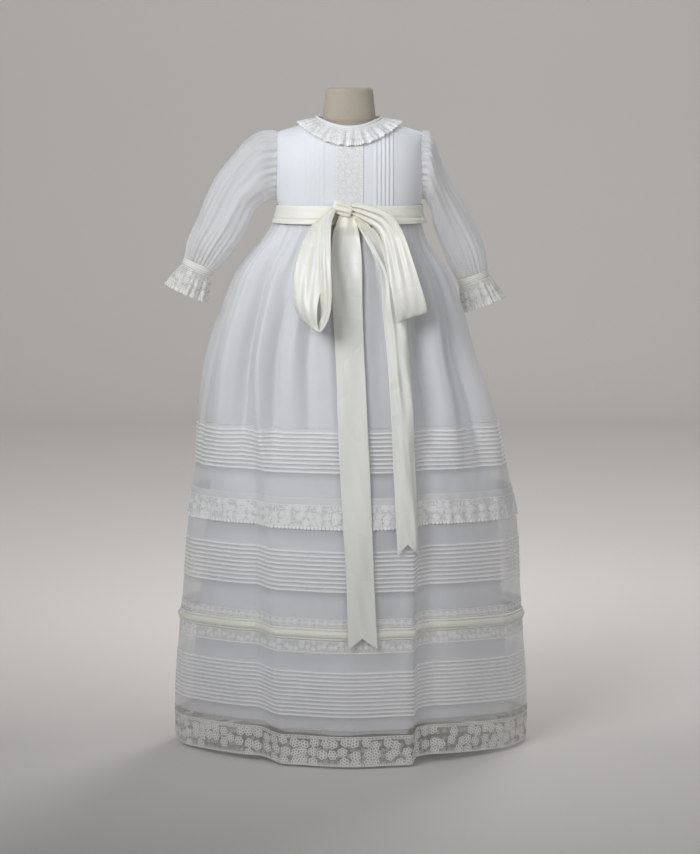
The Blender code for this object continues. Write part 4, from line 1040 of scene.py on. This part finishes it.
cuff_finish = finish("cuff_beading", 0.75, cuff_cloth)
cuff_lace = lace_finish("cuff_lace", 0.0330, (), 0.5, strewn=(0.0050, 0.0108, 0.0040, 0.0285), edge=0.0052,
                        white=(0.82, 0.815, 0.78), dark=(0.68, 0.67, 0.63))
sleeve_turns = np.linspace(0, 2 * math.pi, 240, endpoint=False)
for name, rows in SLEEVES.items():
    at = np.linspace(0, len(rows) - 1, 130)
    x, y, z, half_across, half_depth, lean = between(rows, at)
    ripple = (0.0011 * np.sin(28 * sleeve_turns + 0.7 * np.sin(3 * sleeve_turns))
              + 0.0005 * np.sin(17 * sleeve_turns))
    way = (at / (len(rows) - 1))[:, None]
    gathered = (np.exp(-(way / 0.16) ** 2) + np.exp(-((1 - way) / 0.20) ** 2)) * (way > 0)
    broad = 0.0022 * np.sin(3 * sleeve_turns + 4 * way) + 0.0012 * np.sin(8 * sleeve_turns - 5 * way)
    fine = 0.0005 * np.sin(21 * sleeve_turns + 2 * np.sin(2 * sleeve_turns))
    crease = np.sin(math.pi * way) * (broad + fine)
    points = arm_rings(x, y, z, half_across, half_depth, lean, sleeve_turns, gathered * ripple + crease)
    ease = np.clip(at * 1.4, 0, 1)[:, None]
    edge = figure_edge(points[0, :, 2], np.abs(points[0, :, 1])) + 0.0006
    points[..., 0] += (1 - ease) ** 2 * (np.sign(x[0, 0]) * edge - points[0, :, 0])
    sleeve = surface("sheer_sleeve_" + name, points, organza_cloth, closed=True,
                     across=np.linspace(0, 0.22, 241), layers=0 * points[..., 0])
    last = rows[-1]
    side, cuff_lean = math.copysign(1, last["x"]), math.radians(last["lean"])
    run = np.array((side * math.cos(cuff_lean), 0.0, -math.sin(cuff_lean)))
    band_rows = np.linspace(0.0003, 0.0003 + CUFF_DEPTH, 8)
    end = list(last)
    band_bulge = 0.0004 * np.sin(np.linspace(0, math.pi, 8))[:, None]
    band = arm_rings(*end, sleeve_turns, 0.0004 + band_bulge) + run * band_rows[:, None, None]
    cuff = surface("beaded_cuff_" + name, band, cuff_finish, closed=True,
                   across=np.linspace(0, 0.1300, 241), down=band_rows[:, None])
    frill_share = np.linspace(0, 1, 30)[:, None]
    waves = np.sin(15 * sleeve_turns + 0.9 * np.sin(4 * sleeve_turns)) + 0.5 * np.sin(26 * sleeve_turns)
    frill_out = CUFF_FRILL_FLARE * frill_share ** 0.8 + 0.0018 * frill_share * waves
    frill_run = 0.0006 + CUFF_DEPTH + CUFF_FRILL_DEPTH * frill_share
    frill_points = arm_rings(*end, sleeve_turns, frill_out) + run * frill_run[..., None]
    frill = surface("lace_cuff_" + name, frill_points, cuff_lace, closed=True,
                    across=np.linspace(0, 0.210, 241), down=frill_run - 0.0086)
    for piece, node, slot, flat in ((sleeve, "sleeve_", "sheer_organza", (0.235, 0.17)),
                                    (cuff, "cuff_band_", "ivory_lace", (0.13, 0.01)),
                                    (frill, "cuff_frill_", "ivory_lace", (0.19, 0.033))):
        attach(piece, "root")
        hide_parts(node + name)


# The sash: cream double-faced satin ribbon 38 mm wide, pulled round the waist into soft lengthwise creases
# and tied in front, with two drooping loops and two long tails whose ends are notched.
SASH_TOP, SASH_BOTTOM = 0.6795, 0.6575
SASH = table("z half_width half_depth", (0.6575, 0.0960, 0.0649), (0.6680, 0.0909, 0.0614),
             (0.6795, 0.0902, 0.0602))
sash_z = np.linspace(SASH_TOP, SASH_BOTTOM, 40)[:, None]
sash_turn = np.linspace(-0.5 * math.pi, 1.5 * math.pi, 420, endpoint=False)
sash_fall = (SASH_TOP - sash_z) / (SASH_TOP - SASH_BOTTOM)
crease_low = (sash_fall - 0.70 - 0.07 * np.sin(2 * sash_turn + 0.5)) / 0.07
crease_high = (sash_fall - 0.34 - 0.10 * np.sin(3 * sash_turn)) / 0.10
sash_lift = (0.0003 + 0.0016 * np.sin(math.pi * sash_fall) ** 0.8 - 0.0009 * np.exp(-crease_low ** 2)
             - 0.0003 * np.exp(-crease_high ** 2))
sash_wide = along(SASH, "half_width", sash_z) + sash_lift
sash_deep = along(SASH, "half_depth", sash_z) + sash_lift
sash_radius = oval_radius(sash_turn, sash_wide, sash_deep, 2.6)
sash_points = np.stack([sash_radius * np.cos(sash_turn), sash_radius * np.sin(sash_turn),
                        sash_z + 0 * sash_radius], axis=2)
sash = surface("ribbon_sash", sash_points, soft_satin, closed=True)
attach(sash, "root")
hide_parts("sash_band")


# The sash's tails: the centre one lies flat down the middle, the right one is narrower to the eye because
# it is folded a little along its length. Both go up over the sash into the knot.
RIBBON_THICK, RIBBON_WIDTH = 0.00035, 0.038
CENTRE_TAIL = table("z left right",
                    (0.1480, -0.0015, 0.0345), (0.2130, -0.0030, 0.0310), (0.3510, -0.0110, 0.0255),
                    (0.4300, -0.0145, 0.0215), (0.5060, -0.0170, 0.0180), (0.5600, -0.0205, 0.0160),
                    (0.6260, -0.0220, 0.0145), (0.6480, -0.0195, 0.0115), (0.6700, -0.0120, 0.0060))
RIGHT_TAIL = table("z left right",
                   (0.2600, 0.0585, 0.0845), (0.3500, 0.0540, 0.0810), (0.4460, 0.0495, 0.0770),
                   (0.5060, 0.0450, 0.0725), (0.5600, 0.0400, 0.0670), (0.6000, 0.0380, 0.0580),
                   (0.6250, 0.0270, 0.0450), (0.6500, 0.0135, 0.0290), (0.6680, 0.0035, 0.0165))
FRONT_SHARE = np.linspace(0.25, 0.75, 1201)


def skirt_front(x, z, out):
    """Points on the front of the skirt at x and z, moved out; found between points of the front half."""
    x, z, out = np.broadcast_arrays(x, z, out)
    y = [np.interp(line, *skirt(height[0], FRONT_SHARE, off[0], 0.0)[:, :2].T)
         for line, height, off in zip(x, z, out)]
    return np.stack([x, np.array(y), z], axis=-1)


def ribbon_finish(name, width):
    """Satin ribbon: threads along its length, and a firm woven edge a little brighter on both sides.

    It carries a painted shade: a deeper cream where the attribute named inside marks a fold going in.
    """
    def woven(place, u, v):
        edge = (width / 2 - abs(v - width / 2)).step(0.0018, 0.0004)
        thread = (v + place.noise(250.0) * 0.0002).wave(0.00040) * 0.5 + 0.5
        cloud = place.noise(10.0, 2.0)
        inside = u.add("ShaderNodeAttribute", {"attribute_name": "inside"}, {}, 2)
        # inside darkens the tone towards deep cream: painted shade in the folds.
        tone = cloud * 0.14 + edge * 0.06 - inside * 0.8 + 0.80
        return {"Base Color": tone.colour((0.77, 0.71, 0.48), (0.85, 0.857, 0.82)),
                "Roughness": cloud.step(0.2, 0.8, 0.22, 0.33),
                "Height": thread * 0.3 + edge, "Depth": 0.00008}

    return finish(name, 0.3, woven, Sheen_Weight=0.1, Specular_IOR_Level=0.6)


ribbon_satin = ribbon_finish("ribbon_satin", RIBBON_WIDTH)
for name, rows, node in (("ribbon_tail_centre", CENTRE_TAIL, "bow_tail_centre"),
                         ("ribbon_tail_right", RIGHT_TAIL, "bow_tail_right")):
    share = np.linspace(0, 1, 33)
    fall = np.linspace(0, 1, 220)[:, None]
    z_top, z_end = rows["z"].max(), rows["z"].min()
    z = z_top - (z_top - z_end - 0.014 * (1 - np.abs(2 * share - 1)) * fall ** 12) * fall
    left, right = along(rows, "left", z), along(rows, "right", z)
    x = left + (right - left) * share
    sway = (0.0007 * np.sin(2 * math.pi * (share * 1.1 + 2.2 * fall))
            + 0.0005 * np.sin(2 * math.pi * (share * 2 - 5 * fall)))
    over_sash = ramp(z, SASH_BOTTOM - 0.016, SASH_BOTTOM)
    points = skirt_front(x, np.minimum(z, WAIST), 0.0060 + 0.0045 * over_sash)
    points[..., 2] = z
    if name == "ribbon_tail_right":
        along_fold = np.exp(-((share - 0.30 - 0.25 * fall) / 0.11) ** 2)
        points[..., 1] -= 0.0030 * along_fold * ramp(1 - fall, 0.1, 0.5)
    gathers = 0.0014 * ramp(z, 0.60, 0.66) * np.cos(3 * math.pi * (share - 0.5))
    points[..., 1] -= sway * np.clip(fall * 8, 0, 1) + gathers
    # Painted shade: the tops of the tails, over the sash below the knot, take the deeper cream.
    shade = 0.55 * ramp(z, 0.640, 0.668) + 0 * share
    tail = thicken(surface(name, points.transpose(1, 0, 2), ribbon_satin, facing=(0, -1, 0),
                           across=lengths(points[:, 16]), down=RIBBON_WIDTH * share[:, None], inside=shade.T),
                   RIBBON_THICK)
    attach(tail, "root")
    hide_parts(node)


# The bow's loops: each goes out of the knot, down, and back up into it. Out is how far the ribbon's middle
# stands off the skirt, slope how it leans in the front view, and turn how far it is turned edge-on.
LEFT_LOOP = table("x z out half_width slope turn",
                  (-0.0195, 0.676, 0.0112, 0.0060, 0, 66), (-0.0290, 0.656, 0.024, 0.0110, 10, 55),
                  (-0.0300, 0.620, 0.032, 0.0130, 0, 56), (-0.0285, 0.580, 0.035, 0.0145, 0, 62),
                  (-0.0300, 0.551, 0.033, 0.0175, -8, 72), (-0.0390, 0.535, 0.029, 0.0190, -22, 70),
                  (-0.0490, 0.541, 0.0260, 0.0190, -20, 54), (-0.0540, 0.564, 0.0235, 0.0190, -8, 38),
                  (-0.0490, 0.600, 0.0205, 0.0185, 0, 16), (-0.0415, 0.638, 0.016, 0.0160, 6, 16),
                  (-0.0365, 0.660, 0.0125, 0.0110, 20, 30), (-0.0240, 0.672, 0.0110, 0.0060, 40, 40))
RIGHT_LOOP = table("x z out half_width slope turn",
                   (0.0026, 0.676, 0.0108, 0.0070, 90, 0), (0.0200, 0.671, 0.018, 0.0110, 76, 16),
                   (0.0400, 0.662, 0.023, 0.0135, 56, 16), (0.0510, 0.645, 0.026, 0.0145, 36, 12),
                   (0.0600, 0.615, 0.029, 0.0160, 22, 6), (0.0690, 0.580, 0.029, 0.0180, 16, 2),
                   (0.0750, 0.556, 0.027, 0.0190, 18, -4), (0.0760, 0.547, 0.023, 0.0190, 19, -8),
                   (0.0745, 0.556, 0.0185, 0.0190, 18, -12), (0.0650, 0.590, 0.0170, 0.0170, 16, -14),
                   (0.0530, 0.628, 0.0160, 0.0140, 32, -12), (0.0400, 0.650, 0.0130, 0.0100, 50, -8),
                   (0.0300, 0.659, 0.0110, 0.0070, 64, 0))

for name, rows, node in (("ribbon_loop_left", LEFT_LOOP, "bow_loop_left"),
                         ("ribbon_loop_right", RIGHT_LOOP, "bow_loop_right")):
    steps = np.linspace(0, len(rows) - 1, 150)
    x, z, out, half_width, slope, turn = (values[:, 0] for values in between(rows, steps))
    centre = skirt_front(x[:, None], np.minimum(z, WAIST)[:, None], out[:, None])[:, 0]
    centre[:, 2] = z
    slope, turn = np.radians(slope), np.radians(turn)
    across = np.stack([np.cos(slope) * np.cos(turn), -np.sin(turn), np.sin(slope) * np.cos(turn)], axis=1)
    normal = np.cross(np.gradient(centre, axis=0), across)
    normal /= np.linalg.norm(normal, axis=1, keepdims=True)
    share = np.linspace(-1, 1, 33)
    pinch = np.clip(1.12 - half_width / (RIBBON_WIDTH / 2), 0, 1)[:, None]
    path = np.linspace(0, 1, 150)[:, None]
    ridge = np.cos(3.2 * math.pi * share + 5 * path)
    pleat = (pinch * 0.0030 * ridge + 0.0010 * np.sin(2.4 * share + 9 * path)
             + 0.0005 * np.sin(9 * share + 26 * path))
    beside = (half_width[:, None] * share)[..., None]
    points = centre[:, None] + across[:, None] * beside + normal[:, None] * pleat[..., None]
    # Painted shade: the troughs of the pleats, where the loop is pinched narrow, take the deeper cream.
    shade = np.clip(pinch * 1.3, 0, 1) * np.clip(-ridge, 0, 1) ** 1.5
    loop = thicken(surface(name, points.transpose(1, 0, 2), ribbon_satin, across=lengths(centre),
                           down=RIBBON_WIDTH / 2 * (share[:, None] + 1), inside=shade.T), RIBBON_THICK)
    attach(loop, "root")
    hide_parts(node)


# The knot: one turn of the same ribbon over the crossing, drawn tight into folds that slant down to the
# right. The grooves between its folds carry a painted shade, a deeper cream.
KNOT_HALF_LENGTH, KNOT_HALF_HEIGHT, KNOT_LEAN = 0.0125, 0.0092, math.radians(24)


def knot_satin(place, u, v):
    """Satin with a painted shade: a deeper cream where the folds go in."""
    inside = u.add("ShaderNodeAttribute", {"attribute_name": "inside"}, {}, 2)
    thread = v.wave(0.00045) * 0.5 + 0.5
    return {"Base Color": inside.colour((0.92, 0.915, 0.86), (0.80, 0.74, 0.50)),
            "Height": thread, "Depth": 0.00004}


knot_low, knot_high = (np.array(corner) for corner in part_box("bow_knot"))
knot_centre, knot_half = (knot_low + knot_high) / 2, (knot_high - knot_low) / 2
slant = np.linspace(0, math.pi, 80)[:, None]
round_turn = np.linspace(0, 2 * math.pi, 120, endpoint=False)
groove = 0.5 + 0.5 * np.cos(6 * round_turn + 2.2 * np.cos(slant) + 0.7 * np.sin(2 * round_turn))
girdle = np.sin(slant) ** 0.55 * (1 + 0.14 * np.cos(2 * slant)) * (1 - 0.24 * groove ** 2 * np.sin(slant))
length = KNOT_HALF_LENGTH * np.cos(slant) + 0 * round_turn
height = KNOT_HALF_HEIGHT * girdle * np.cos(round_turn)
knot_points = knot_centre + np.stack([length * math.cos(KNOT_LEAN) + height * math.sin(KNOT_LEAN),
                                      -knot_half[1] * girdle * np.sin(round_turn),
                                      height * math.cos(KNOT_LEAN) - length * math.sin(KNOT_LEAN)], axis=2)
tight_satin = finish("knot_satin", 0.28, knot_satin, Sheen_Weight=0.1, Specular_IOR_Level=0.6)
# The inside attribute holds the painted shade, deepest in the grooves between the folds.
knot = close_poles(surface("ribbon_knot", knot_points, tight_satin, closed=True,
                           inside=groove ** 2 * np.sin(slant)))
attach(knot, "root")
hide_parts("bow_knot")
